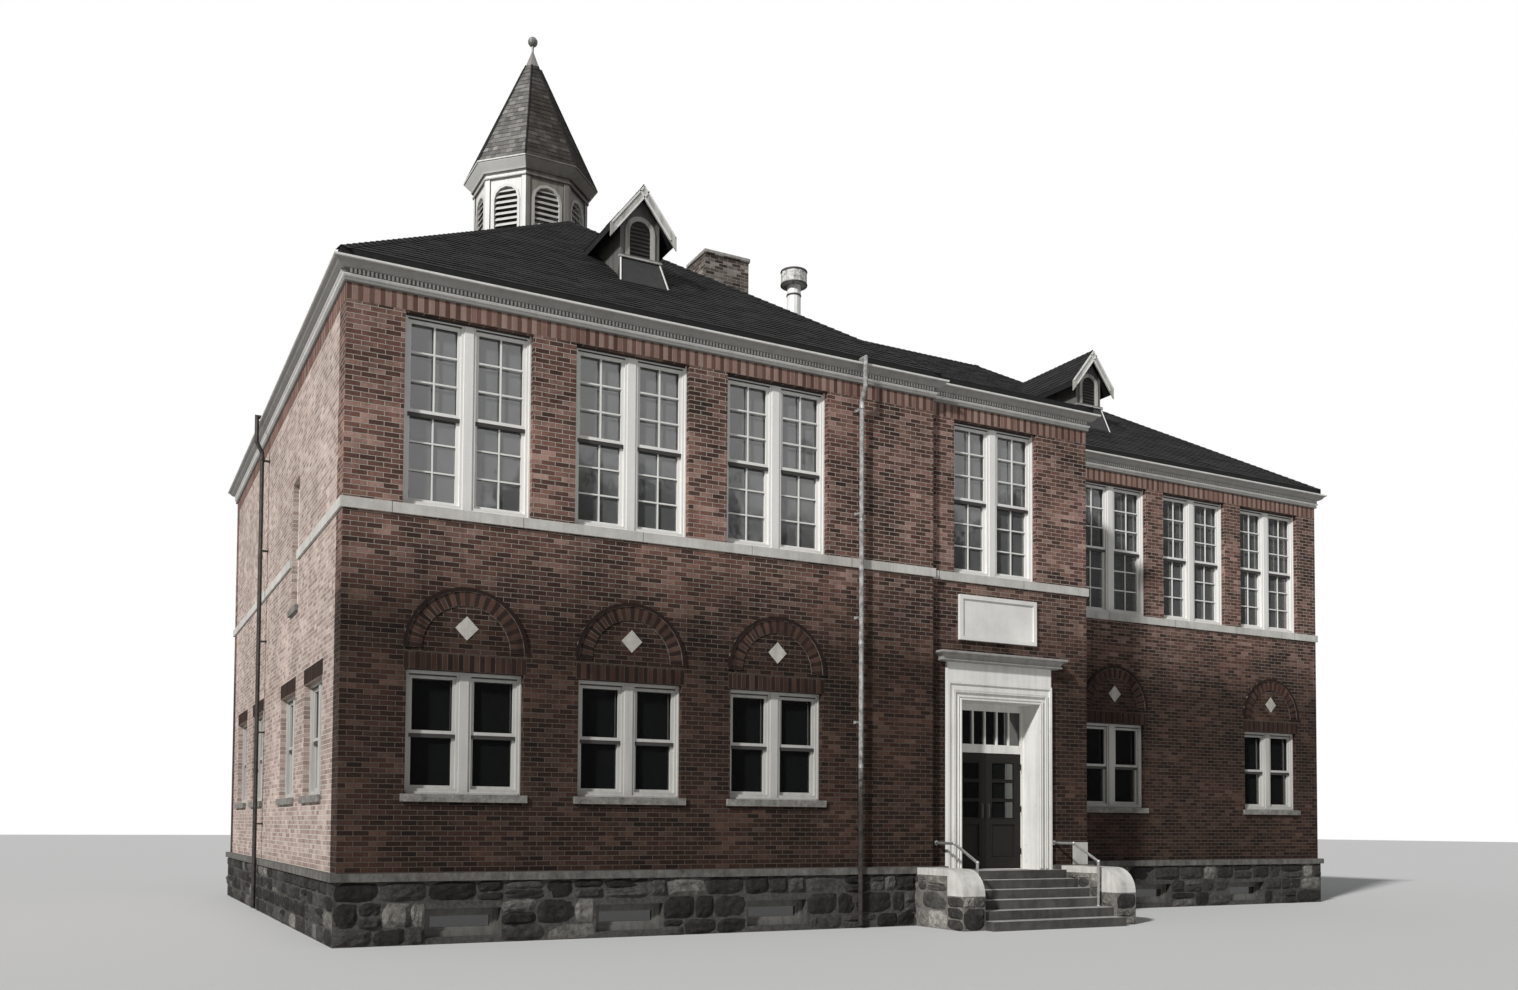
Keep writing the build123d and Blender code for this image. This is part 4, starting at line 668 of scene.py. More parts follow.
# Colour banded by height with painted shade: dark at the foot, white on the bed moulding, near-black behind
# the dentils, grey on the crown, white on the top fillet.
cornice_paint_and_shade, tree, shader, spot = look("cornice_paint_and_shade", 0.55)
level = between(tree, part_of(tree, spot, "Z"), cornice_foot, cornice_foot + cornice_height)
shade_banded = ramp(tree, level, (0.0, (0.25, 0.245, 0.23, 1)), (0.15, (0.28, 0.27, 0.25, 1)),
              (0.20, (0.76, 0.75, 0.71, 1)), (0.33, (0.74, 0.73, 0.69, 1)), (0.36, (0.16, 0.155, 0.145, 1)),
              (0.56, (0.20, 0.195, 0.18, 1)), (0.60, (0.36, 0.35, 0.33, 1)), (0.87, (0.30, 0.29, 0.27, 1)),
              (0.91, (0.74, 0.73, 0.69, 1)))
brushed = noise(tree, stretched(tree, spot, 3.0, 3.0, 22.0), 3.0, 5.0)
shade_banded = blend(tree, 0.25, shade_banded, ramp(tree, brushed, (0.3, 0.7), (0.7, 1.0)), "MULTIPLY")
wear_and_shade = {"Color": shade_banded, "Blotches": 0.15, "Streaks": 0.2, "Grain": 0.08}
feed(tree, use_group(tree, weather_and_shade, wear_and_shade).outputs[0], shader, "Base Color")
feed(tree, relief(tree, brushed, 0.0015, 0.5), shader, "Normal")
# The dentils are a greyer copy of the white paint, painted as in shade.
dentil_paint_in_shade = paint_look("dentil_paint_in_shade", (0.60, 0.59, 0.56, 1), 0.3)
bed_and_frieze = [(0.0, 0.0), (0.030, 0.0), (0.038, 0.008), (0.038, 0.040), (0.028, 0.046), (0.028, 0.056),
                  (0.048, 0.062), (0.058, 0.080), (0.058, 0.094), (0.040, 0.100), (0.040, 0.166),
                  (0.080, 0.172)]
crown = [(0.092 + 0.086 * (i / 8 + sin(2 * pi * i / 8) / 9), 0.180 + 0.074 * i / 8) for i in range(9)]
fillet = [(cornice_reach, 0.260), (cornice_reach, cornice_height), (0.0, cornice_height)]
mesh = bmesh.new()
swept(mesh, building_plan, [(proud, cornice_foot + z) for proud, z in bed_and_frieze + crown + fillet], True)
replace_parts(finish(mesh, "cornice_moulding", cornice_paint_and_shade), "cornice")

dentil_pitch, dentil_half, dentil_back, dentil_face = 0.055, 0.014, 0.036, 0.068
dentil_foot, dentil_head = cornice_foot + 0.104, cornice_foot + 0.164
mesh = bmesh.new()
for wall in walls:
    start, end = wall.start + 0.02, wall.end - 0.02
    count = round((end - start) / dentil_pitch)
    for i in range(count):
        u = start + (end - start) * (i + 0.5) / count
        batten(mesh, wall, u - dentil_half, u + dentil_half, dentil_back, dentil_face, dentil_foot,
               dentil_head)
finish(mesh, "cornice_dentils", dentil_paint_in_shade)


# Roofs: thin dark shingles nailed in courses from the eaves up on felted boards, each course lapped over the
# last, with folded caps over the hips and ridges.
def shingled(mesh, corners, exposure, width, lift):
    """Cut a slope into courses and tabs, tilt each tab's lower edge up and turn its butt down."""
    wander, gap_share, butt_share, laid_on, butt_drop = 0.3, 0.014, 0.3, 0.002, 1.4
    left, right, top_right, top_left = corners
    along = (right - left).normalized()
    rise = (top_left - left) - along * (top_left - left).dot(along)
    up, length = rise.normalized(), rise.length
    normal = along.cross(up)
    ring = [left, right, top_right] + ([top_left] if (top_left - top_right).length > 0.01 else [])
    if normal.z < 0:
        normal.negate()
        ring.reverse()
    slope = toned_mesh()
    slope.faces.new([slope.verts.new(p) for p in ring])
    rows = max(2, round(length / exposure))
    step = length / rows
    for k in range(1, rows):
        every = slope.verts[:] + slope.edges[:] + slope.faces[:]
        bmesh.ops.bisect_plane(slope, geom=every, plane_co=left + up * step * k, plane_no=up)
    bmesh.ops.split_edges(slope, edges=slope.edges)
    reach = [(p - left).dot(along) for p in corners]
    for odd in (0, 1):
        cut = [f for f in slope.faces if int((f.calc_center_median() - left).dot(up) / step) % 2 == odd]
        geom = cut + list({e for f in cut for e in f.edges}) + list({v for f in cut for v in f.verts})
        u = min(reach) + width * (0.5 if odd else 1.0)
        while u < max(reach):
            place = left + along * (u + chance.uniform(-wander, wander) * width)
            geom = bmesh.ops.bisect_plane(slope, geom=geom, plane_co=place, plane_no=along)["geom"]
            u += width
    bmesh.ops.split_edges(slope, edges=[e for e in slope.edges if len(e.link_faces) == 2])
    butts = []
    course_tones = [chance.random() for _ in range(rows + 1)]
    for face in slope.faces:
        heights = [(vert.co - left).dot(up) for vert in face.verts]
        butt_line, middle = min(heights) + butt_share * step, face.calc_center_median()
        raised = lift * chance.uniform(0.75, 1.3)
        course = int((middle - left).dot(up) / step)
        tone(slope, face.verts, 0.7 * chance.random() + 0.3 * course_tones[course])
        lower = {vert for vert, height in zip(face.verts, heights) if height < butt_line}
        for vert in face.verts:
            vert.co += along * (middle - vert.co).dot(along) * gap_share
            vert.co += normal * (raised if vert in lower else laid_on)
        butts += [e for e in face.edges if all(v in lower for v in e.verts)]
    turned = bmesh.ops.extrude_edge_only(slope, edges=butts)["geom"]
    for vert in points_in(turned):
        vert.co -= normal * lift * butt_drop
    data = bpy.data.meshes.new("slope")
    slope.to_mesh(data)
    slope.free()
    mesh.from_mesh(data)
    bpy.data.meshes.remove(data)
    return normal


def ridge_caps(mesh, start, end, normal_a, normal_b, width=0.11):
    """Folded shingles lapped up a hip or ridge."""
    exposure, lapped, butt_up, tail_fall, side_fall = 0.15, 1.2, 0.030, 0.014, 0.010
    run = (end - start).normalized()
    sides = [run.cross(n) for n in (normal_a, normal_b)]
    sides = [side if side.z < 0 else -side for side in sides]
    count = max(1, round((end - start).length / exposure))
    step = (end - start).length / count
    for k in range(count):
        verts = bmesh.ops.create_grid(mesh, x_segments=2, y_segments=2, size=1)["verts"]
        value = chance.random() * 0.7
        for vert in verts:
            s, t = vert.co.x, (vert.co.y + 1) / 2
            side = sides[0] if s < 0 else sides[1]
            lift = butt_up - tail_fall * t - side_fall * abs(s)
            vert.co = start + run * step * (k + lapped * t) + side * abs(s) * width + Vector((0, 0, lift))
        tone(mesh, verts, value)


def shingle_look(name, shade_side, *tones):
    """Weathered shingles: every one a tone of its own, with fine fibres down the slope and painted shade on
    sides not turned to the left.
    """
    material, tree, shader, spot = look(name, 0.92)
    own = own_tone(tree)
    fibres = noise(tree, stretched(tree, spot, 40.0, 40.0, 6.0), 1.0, 4.0, 0.7)
    value = calc(tree, "ADD", calc(tree, "MULTIPLY", own, 0.75), calc(tree, "MULTIPLY", fibres, 0.35))
    wear_and_shade = {"Color": ramp(tree, value, *tones), "Blotches": 0.3, "Streaks": 0.1, "Grain": 0.2, "Shade side": shade_side}
    feed(tree, use_group(tree, weather_and_shade, wear_and_shade).outputs[0], shader, "Base Color")
    feed(tree, relief(tree, fibres, 0.003, 0.7), shader, "Normal")
    return material


def metal_look(name, colour, rough, metallic, rust):
    """Sheet or pipe metal with dull patches and rust."""
    material, tree, shader, spot = look(name, rough)
    shader.inputs["Metallic"].default_value = metallic
    patch = noise(tree, spot, 11.0, 7.0, 0.7)
    stain = calc(tree, "MULTIPLY", ramp(tree, patch, (0.55, 0.0), (0.75, 1.0)), rust)
    feed(tree, blend(tree, stain, colour, (0.11, 0.055, 0.03, 1)), shader, "Base Color")
    feed(tree, ramp(tree, patch, (0.3, rough * 0.7), (0.7, min(1.0, rough * 1.3))), shader, "Roughness")
    feed(tree, relief(tree, patch, 0.0012, 0.4), shader, "Normal")
    return material


roof_shingle = shingle_look("roof_shingle", 0.0, (0.1, (0.009, 0.009, 0.010, 1)),
                            (1.0, (0.036, 0.035, 0.034, 1)))
roof_felt = metal_look("roof_felt", (0.014, 0.014, 0.014, 1), 0.85, 0.0, 0.05)
dress(roof_felt, "left_wing_roof", "main_roof", "entrance_roof", "dormer_roofs", "cupola_spire")


def roof_slope(mesh, *corners):
    """One slope in the roofs' own shingles."""
    exposure, width, lift = 0.135, 0.30, 0.012
    return shingled(mesh, corners, exposure, width, lift)


eave, peak, past_wall = 9.29, 12.84, 0.1
wing_middle, main_middle = 4.8, 7.05
front_peak, rear_peak = at(wing_middle, 4.8, peak), at(wing_middle, 8.7, peak)
eave_right, eave_rear = wing_right + past_wall, wing_back + past_wall
front_left, front_right = at(-past_wall, -past_wall, eave), at(eave_right, -past_wall, eave)
rear_left, rear_right = at(-past_wall, eave_rear, eave), at(eave_right, eave_rear, eave)
mesh = toned_mesh()
front_slope = roof_slope(mesh, front_left, front_right, front_peak, front_peak)
left_slope = roof_slope(mesh, rear_left, front_left, front_peak, rear_peak)
right_slope = roof_slope(mesh, front_right, rear_right, rear_peak, front_peak)
back_slope = roof_slope(mesh, rear_right, rear_left, rear_peak, rear_peak)
ridge_caps(mesh, front_left, front_peak, front_slope, left_slope)
ridge_caps(mesh, front_right, front_peak, front_slope, right_slope)
ridge_caps(mesh, rear_left, rear_peak, back_slope, left_slope)
ridge_caps(mesh, rear_right, rear_peak, back_slope, right_slope)
ridge_caps(mesh, front_peak, rear_peak, left_slope, right_slope)
finish(mesh, "wing_shingles", roof_shingle, recalculate=False)

main_root, main_tip = at(wing_middle, main_middle, peak), at(15.95, main_middle, peak)
caps_from = at(5.7, main_middle, peak)
eave_right, eave_front, eave_rear = main_right + past_wall, main_face - past_wall, main_back + past_wall
front_right, rear_right = at(eave_right, eave_front, eave), at(eave_right, eave_rear, eave)
mesh = toned_mesh()
front_slope = roof_slope(mesh, at(wing_middle, eave_front, eave), front_right, main_tip, main_root)
end_slope = roof_slope(mesh, front_right, rear_right, main_tip, main_tip)
back_slope = roof_slope(mesh, rear_right, at(wing_middle, eave_rear, eave), main_root, main_tip)
ridge_caps(mesh, front_right, main_tip, front_slope, end_slope)
ridge_caps(mesh, rear_right, main_tip, back_slope, end_slope)
ridge_caps(mesh, caps_from, main_tip, front_slope, back_slope)
finish(mesh, "main_shingles", roof_shingle, recalculate=False)

bay_rise, bay_run, hip_run = tan(radians(12)), 3.0, 2.53
eave_right, eave_front, bay_rear = bay_right + past_wall, bay_face - past_wall, 6.0
bay_top = eave + bay_rise * bay_run
bay_peak, front_right = at(10.2, eave_front + bay_run, bay_top), at(eave_right, eave_front, eave)
hip_top = at(eave_right - hip_run, eave_front + hip_run, eave + bay_rise * hip_run)
mesh = toned_mesh()
front_slope = roof_slope(mesh, at(wing_middle, eave_front, eave), front_right, bay_peak,
                         at(wing_middle, eave_front + bay_run, bay_top))
end_slope = roof_slope(mesh, front_right, at(eave_right, bay_rear, eave), bay_peak, bay_peak)
ridge_caps(mesh, front_right, hip_top, front_slope, end_slope)
finish(mesh, "entrance_shingles", roof_shingle, recalculate=False)

# Dormers: two small gabled vents of painted boards on the front slopes, each with an arched opening in a flat
# casing, its slats and a board behind them painted near-black as the shade inside, wide rake boards, a
# shingled roof and a lead apron with folded edge strips.
worn_paint = paint_look("worn_paint", (0.17, 0.165, 0.15, 1), 0.85)
casing_paint = paint_look("casing_paint", (0.55, 0.54, 0.505, 1), 0.9)
rake_paint = paint_look("rake_paint", (0.60, 0.59, 0.55, 1), 1.0)
apron_lead = metal_look("apron_lead", (0.030, 0.030, 0.030, 1), 0.6, 0.2, 0.1)
dress(worn_paint, "dormer_walls")
dress(rake_paint, "dormer_rakes")
dress(apron_lead, "dormer_aprons")


def arch_casing(mesh, centre, face, foot, spring, inner, outer, proud):
    """A flat casing up one side of an arched opening, over it and down the other side."""
    section = ((inner, 0.0), (outer, 0.0), (outer, proud), (inner, proud))
    verts = [mesh.verts.new(at(centre + r, face - d, foot)) for r, d in section]
    line = [mesh.edges.new((verts[i - 1], verts[i])) for i in range(4)]
    made = bmesh.ops.extrude_edge_only(mesh, edges=line)["geom"]
    top = points_in(made)
    bmesh.ops.translate(mesh, verts=top, vec=(0, 0, spring - foot))
    line = [e for e in edges_in(made) if all(v in top for v in e.verts)]
    over = bmesh.ops.spin(mesh, geom=top + line, cent=at(centre, face, spring), axis=(0, -1, 0), angle=pi,
                          steps=12)["geom_last"]
    made = bmesh.ops.extrude_edge_only(mesh, edges=edges_in(over))["geom"]
    bmesh.ops.translate(mesh, verts=points_in(made), vec=(0, 0, foot - spring))
    bmesh.ops.remove_doubles(mesh, verts=mesh.verts, dist=0.0005)


def strip(mesh, start, end, width, thick):
    """A straight strip between two points."""
    run = end - start
    turn = run.to_track_quat("X", "Z").to_matrix().to_4x4()
    size = Matrix.Diagonal((run.length, width, thick, 1))
    bmesh.ops.create_cube(mesh, size=1, matrix=Matrix.Translation((start + end) / 2) @ turn @ size)


front_dormer = (4.88, 1.6, 10.522, 0.370, 2.67, 3.70)
main_dormer = (16.2, 3.4, 10.395, 0.445, 4.67, 5.78)
pitch = radians(52)
light_half, casing_half, casing_proud, light_rise = 0.185, 0.262, 0.022, 0.425
sill_half, sill_proud, sill_foot, sill_top = 0.375, 0.056, 0.047, 0.020
slat_pitch, slat_thick, slat_lean = 0.066, 0.012, Matrix.Rotation(radians(35), 3, "X")
slat_halves, slats_from = [0.175] * 6 + [0.17, 0.14, 0.09], 0.015
slat_back, slat_pivot, slat_face = -0.031, -0.017, -0.004
shade_board_half, shade_board_back, shade_board_foot, shade_board_top = 0.18, -0.034, 0.002, 0.60
wall_half, wall_rise, roof_half, roof_thick, roof_past = 0.345, 0.595, 0.58, 0.070, 0.15
rake_half, rake_out, rake_end, rake_in = 0.57, 0.180, 0.01, 0.012
apron_half, apron_out, apron_drop = 0.418, 0.222, 0.15
casings, edging, shingles, shaded_slats = bmesh.new(), bmesh.new(), toned_mesh(), bmesh.new()
for centre, face, roof_at, above, eave_end, ridge_end in (front_dormer, main_dormer):
    sill = roof_at + above
    gable = Wall("x", face, -1)
    arch_casing(casings, centre, face, sill, sill + light_rise, light_half, casing_half, casing_proud)
    batten(casings, gable, centre - sill_half, centre + sill_half, 0.0, sill_proud, sill - sill_foot,
           sill - sill_top)
    # Near-black slats and a board behind them: painted shade inside the opening.
    for k, half in enumerate(slat_halves):
        foot = sill + slats_from + slat_pitch * k
        blade = batten(shaded_slats, gable, centre - half, centre + half, slat_back, slat_face, foot,
                       foot + slat_thick)
        pivot = gable.point(centre, slat_pivot, foot + slat_thick / 2)
        bmesh.ops.rotate(shaded_slats, verts=blade, cent=pivot, matrix=slat_lean)
    batten(shaded_slats, gable, centre - shade_board_half, centre + shade_board_half, shade_board_back, slat_back,
           sill + shade_board_foot, sill + shade_board_top)
    ridge = sill + wall_rise + wall_half * tan(pitch) + roof_thick / cos(pitch)
    tip = ridge - roof_half * tan(pitch)
    ridge_front, ridge_back = at(centre, face - roof_past, ridge), at(centre, ridge_end, ridge)
    normals = []
    for hand in (-1, 1):
        for inset in (0.016, 0.124):
            drop = Vector((-hand * sin(pitch) * inset, 0, -cos(pitch) * inset))
            low_end = at(centre + hand * rake_half, face - rake_out, tip + rake_in) + drop
            high_end = at(centre + hand * rake_end, face - rake_out, ridge - rake_in) + drop
            strip(edging, low_end, high_end, 0.016, 0.026)
        apron_top = at(centre + hand * wall_half, face - 0.03, sill - 0.05)
        apron_foot = at(centre + hand * apron_half, face - apron_out, roof_at - apron_drop)
        strip(edging, apron_top, apron_foot, 0.024, 0.016)
        eave_front = at(centre + hand * roof_half, face - roof_past, tip)
        eave_back = at(centre + hand * roof_half, eave_end, tip)
        corners = [eave_front, eave_back, ridge_back, ridge_front]
        if hand < 0:
            corners = [eave_back, eave_front, ridge_front, ridge_back]
        normals.append(shingled(shingles, corners, 0.125, 0.25, 0.010))
    ridge_caps(shingles, ridge_front, ridge_back, normals[0], normals[1], 0.08)
finish(casings, "dormer_casings", casing_paint)
finish(edging, "dormer_strips", white_paint)
finish(shaded_slats, "dormer_slats_in_shade", rail_shadow)
finish(shingles, "dormer_shingles", roof_shingle, recalculate=False)

# Chimney and vent: a weathered brick stack with a pale mortar wash round its flue, and a white sheet-metal
# vent pipe whose hooded cap has dark rolled rims.
stack_tones = ((0.0, (0.06, 0.042, 0.036, 1)), (0.5, (0.15, 0.115, 0.098, 1)), (1.0, (0.48, 0.43, 0.39, 1)))
dress(brick_look("stack_brick", stack_tones, (0.36, 0.335, 0.30, 1), 0.0), "chimney")
wash = stone_look("mortar_wash", (0.36, 0.35, 0.325, 1), (0.60, 0.585, 0.55, 1), 0.9, 0.006, 8.0)
stack_x, stack_y, stack_top = 9.12, 7.35, 14.02
wide, deep, flue_wide, flue_deep = 0.553, 0.478, 0.30, 0.225
wash_foot, wash_top = stack_top - 0.052, stack_top + 0.018
stack = Wall("x", stack_y, -1)
mesh = bmesh.new()
for u0, u1, out0, out1 in ((-wide, wide, flue_deep, deep), (-wide, wide, -deep, -flue_deep),
                           (-wide, -flue_wide, -flue_deep, flue_deep),
                           (flue_wide, wide, -flue_deep, flue_deep)):
    batten(mesh, stack, stack_x + u0, stack_x + u1, out0, out1, wash_foot, wash_top)
finish(mesh, "stack_wash", wash, bevel=0.008)

cap_foot = 13.02
vent_metal, tree, shader, spot = look("vent_metal", 0.5)
patch = noise(tree, spot, 11.0, 7.0, 0.7)
cap_metal = ramp(tree, patch, (0.35, (0.20, 0.19, 0.18, 1)), (0.58, (0.70, 0.69, 0.66, 1)))
pipe_metal = ramp(tree, patch, (0.40, (0.80, 0.79, 0.76, 1)), (0.60, (0.90, 0.89, 0.86, 1)))
in_cap = calc(tree, "GREATER_THAN", part_of(tree, spot, "Z"), cap_foot)
feed(tree, blend(tree, in_cap, pipe_metal, cap_metal), shader, "Base Color")
feed(tree, relief(tree, patch, 0.0012, 0.4), shader, "Normal")
rim_metal = metal_look("rim_metal", (0.10, 0.095, 0.09, 1), 0.6, 0.3, 0.3)
dress(vent_metal, "vent_pipe")


def turned_ring(mesh, centre, profile, steps, turn=0.0):
    """A closed (radius, z) outline spun once round an upright axis."""
    verts = [mesh.verts.new(centre + Vector((r * cos(turn), r * sin(turn), z))) for r, z in profile]
    line = [mesh.edges.new((verts[i - 1], verts[i])) for i in range(len(verts))]
    bmesh.ops.spin(mesh, geom=verts + line, cent=centre, axis=(0, 0, 1), angle=2 * pi, steps=steps,
                   use_merge=True)
    bmesh.ops.remove_doubles(mesh, verts=mesh.verts, dist=0.0002)


vent_axis, cap_radius, pipe_radius, steps = at(10.05, 5.6, 0.0), 0.276, 0.148, 24
rolled_edge = [(-0.006, 0.0), (0.008, 0.0), (0.012, 0.016), (0.008, 0.032), (-0.006, 0.032)]
mesh = bmesh.new()
for foot, radius in ((13.025, cap_radius), (13.30, cap_radius), (12.80, pipe_radius)):
    turned_ring(mesh, vent_axis, [(radius + out, foot + z) for out, z in rolled_edge], steps)
finish(mesh, "vent_rims", rim_metal, smooth=True)

# Cupola: an eight-sided belfry of painted boards between corner posts, with louvred arches, flared eaves and
# a steep spire of cedar shingles. Dark metal rolls cover the spire's hips.
# The cupola's paints are darkened as painted shade on sides not turned to the left.
cupola_paint = paint_look("cupola_paint", (0.76, 0.75, 0.71, 1), 0.3, 0.5, 0.85)
louvre_paint = paint_look("louvre_paint", (0.66, 0.65, 0.615, 1), 0.3, 0.5, 0.4)
finial_metal = metal_look("finial_metal", (0.20, 0.195, 0.185, 1), 0.45, 0.5, 0.3)
dress(cupola_paint, "cupola_drum")
dress(paint_look("cupola_eaves_paint", (0.92, 0.91, 0.87, 1), 0.12, 0.5, 0.85), "cupola_eaves")
dress(louvre_paint, "cupola_louvres")
dress(finial_metal, "cupola_finial")

cupola, sides, drum_half, eave_half = at(4.8, 7.2, 0.0), 8, 1.055, 1.225
flat_to_corner = 1 / cos(pi / sides)
frieze_moulding = [(0.0, 14.262), (0.020, 14.262), (0.032, 14.278), (0.032, 14.290), (0.0, 14.296)]
eave_moulding = [(0.025, 14.372), (0.047, 14.372), (0.059, 14.392), (0.025, 14.400)]
spire_edge = [(-0.01, 14.545), (0.018, 14.545), (0.024, 14.556), (0.024, 14.570), (-0.01, 14.574)]
mesh = bmesh.new()
for half, profile in ((drum_half, frieze_moulding), (drum_half, eave_moulding), (eave_half, spire_edge)):
    outline = [((half + proud) * flat_to_corner, z) for proud, z in profile]
    turned_ring(mesh, cupola, outline, sides, pi / sides)
finish(mesh, "cupola_mouldings", cupola_paint)

# Thin near-black strips paint the shade where each corner post steps out from its panels.
post_edge, panel_out, seam_middle = 0.347, 1.036, 13.30
seam = Matrix.Diagonal((0.020, 0.014, 1.90, 1))
mesh = bmesh.new()
for i in range(sides):
    turn = Matrix.Translation(cupola) @ Matrix.Rotation(radians(45 * i), 4, "Z")
    for u in (-post_edge, post_edge):
        place = Matrix.Translation((u, -panel_out, seam_middle))
        bmesh.ops.create_cube(mesh, size=1, matrix=turn @ place @ seam)
finish(mesh, "cupola_seam_shade", rail_shadow)

# The spire shingles are darkened as painted shade on sides not turned to the left.
spire_shingle = shingle_look("spire_shingle", 0.75, (0.1, (0.085, 0.082, 0.077, 1)),
                             (0.6, (0.20, 0.193, 0.18, 1)), (0.85, (0.31, 0.30, 0.28, 1)),
                             (1.0, (0.48, 0.465, 0.44, 1)))
spire_foot, spire_head, top_share = 14.57, 17.03, 350 / 2810
wide, narrow = eave_half * flat_to_corner, eave_half * top_share * flat_to_corner
roll_out, roll_wide, roll_thick = 0.008, 0.030, 0.026
shingles, rolls = toned_mesh(), bmesh.new()
for i in range(sides):
    a, b = radians(22.5 + 45 * i), radians(67.5 + 45 * i)
    around = ((wide, a, spire_foot), (wide, b, spire_foot), (narrow, b, spire_head), (narrow, a, spire_head))
    corners = [cupola + Vector((r * cos(t), r * sin(t), z)) for r, t, z in around]
    shingled(shingles, corners, 0.118, 0.125, 0.010)
    outwards = Vector((roll_out * cos(a), roll_out * sin(a), 0))
    strip(rolls, corners[0] + outwards, corners[3] + outwards, roll_wide, roll_thick)
finish(shingles, "spire_shingles", spire_shingle, recalculate=False)
finish(rolls, "spire_hip_rolls", roof_felt, bevel=0.007)

# Entrance: a moulded pine surround and hood, painted white and worn, the hood painted dark grey as shade, in
# front of a deep boarded recess with a barred transom light.
entrance_paint = paint_look("entrance_paint", (0.80, 0.79, 0.75, 1), 0.35)
dress(entrance_paint, "door_surround", "door_frame")
# The hood's dark grey is painted shade.
hood_paint_in_shade = paint_look("hood_paint_in_shade", (0.33, 0.32, 0.30, 1), 0.6)
door_centre, opening_half, opening_head, surround_foot, bead_back = 11.08, 0.855, 3.80, 0.91, 0.07
beads = ((0.0, 0.030, 0.096), (0.050, 0.073, 0.088), (0.130, 0.148, 0.089), (0.163, 0.181, 0.089))
mesh = bmesh.new()
for hand in (-1, 1):
    for near, far, proud in beads:
        u0, u1 = sorted(door_centre + hand * (opening_half + edge) for edge in (near, far))
        batten(mesh, front_bay, u0, u1, bead_back, proud, surround_foot, opening_head + near)
for near, far, proud in beads:
    left, right = door_centre - opening_half - far, door_centre + opening_half + far
    batten(mesh, front_bay, left, right, bead_back, proud, opening_head + near, opening_head + far)
finish(mesh, "surround_beads", entrance_paint, bevel=0.004)


def hood_plan(g):
    """The hood's line: out from the wall, along the front and back to the wall."""
    half = hood_half + g
    left, right, front = door_centre - half, door_centre + half, bay_face - g
    return [(left, bay_face), (left, front), (right, front), (right, bay_face)]


hood_half = 1.139
bed = [(0.0, 4.440), (0.112, 4.440), (0.120, 4.446), (0.160, 4.452), (0.168, 4.458), (0.168, 4.472),
       (0.152, 4.478)]
cove = [(0.150 + 0.062 * (1 - cos(pi / 2 * i / 6)), 4.484 + 0.080 * sin(pi / 2 * i / 6)) for i in range(7)]
cap = [(0.230, 4.570), (0.238, 4.578), (0.238, 4.604), (0.232, 4.612), (0.0, 4.614)]
mesh = bmesh.new()
swept(mesh, hood_plan, bed + cove + cap, False)
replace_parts(finish(mesh, "moulded_hood", hood_paint_in_shade), "door_hood")

# Doors: a pair of dark painted stile-and-rail leaves, each with three lights over a sunk panel, moulded beads
# and a bar pull. They open outwards on butt hinges.
door_paint = paint_look("door_paint", (0.016, 0.014, 0.012, 1), 0.06, 0.65)
pull_metal = metal_look("pull_metal", (0.07, 0.068, 0.064, 1), 0.45, 0.8, 0.2)
dress(door_paint, "left_door", "right_door")


def rod(mesh, place, segments, foot, head, length):
    """A round bar, post or collar, upright until it is turned, with its middle at a place."""
    bmesh.ops.create_cone(mesh, cap_ends=True, segments=segments, radius1=foot, radius2=head, depth=length,
                          matrix=place)


leaf_front = -0.37
bead, bead_back, bead_face = 0.014, leaf_front - 0.002, leaf_front + 0.009
light_near, light_far = 0.146, 0.650
lights_and_panel = ((2.48, 2.77), (2.14, 2.43), (1.80, 2.09), (1.13, 1.68))
pull_across, grip_out, post_out = 0.072, leaf_front + 0.034, leaf_front + 0.017
grip_middle, post_heights = 1.92, (1.83, 2.01)
level_turn = Matrix.Rotation(pi / 2, 4, "X")
plate_half, plate_foot, plate_top = 0.022, 1.79, 2.05
for body, hand in (("left_door", -1), ("right_door", 1)):
    beads, pull = bmesh.new(), bmesh.new()
    a, b = sorted((door_centre + hand * light_near, door_centre + hand * light_far))
    for low, high in lights_and_panel:
        for u0, u1, z0, z1 in ((a - bead, a, low - bead, high + bead), (b, b + bead, low - bead, high + bead),
                               (a, b, low - bead, low), (a, b, high, high + bead)):
            batten(beads, front_bay, u0, u1, bead_back, bead_face, z0, z1)
    finish(beads, body + "_beads", door_paint, bevel=0.003, body=body)
    u = door_centre + hand * pull_across
    rod(pull, Matrix.Translation(front_bay.point(u, grip_out, grip_middle)), 12, 0.009, 0.009, 0.22)
    for z in post_heights:
        rod(pull, Matrix.Translation(front_bay.point(u, post_out, z)) @ level_turn, 10, 0.007, 0.007, 0.036)
    batten(pull, front_bay, u - plate_half, u + plate_half, leaf_front - 0.001, leaf_front + 0.003,
           plate_foot, plate_top)
    finish(pull, body + "_pull", pull_metal, body=body)

# Steps and cheek walls: six sawn stone steps, painted pale on the treads as lit and dark on the risers as
# shade, between rubble cheek walls under smooth copings that turn down in a quarter round, with galvanised
# pipe handrails let into the treads.
step_stone, tree, shader, spot = look("step_stone", 0.85)
rising = part_of(tree, tree.nodes.new("ShaderNodeTexCoord").outputs["Normal"], "Z")
wear = noise(tree, spot, 4.0, 7.0, 0.65)
lit_tread = ramp(tree, wear, (0.3, (0.36, 0.35, 0.33, 1)), (0.7, (0.55, 0.54, 0.51, 1)))
riser_in_shade = ramp(tree, wear, (0.3, (0.055, 0.053, 0.050, 1)), (0.7, (0.12, 0.116, 0.108, 1)))
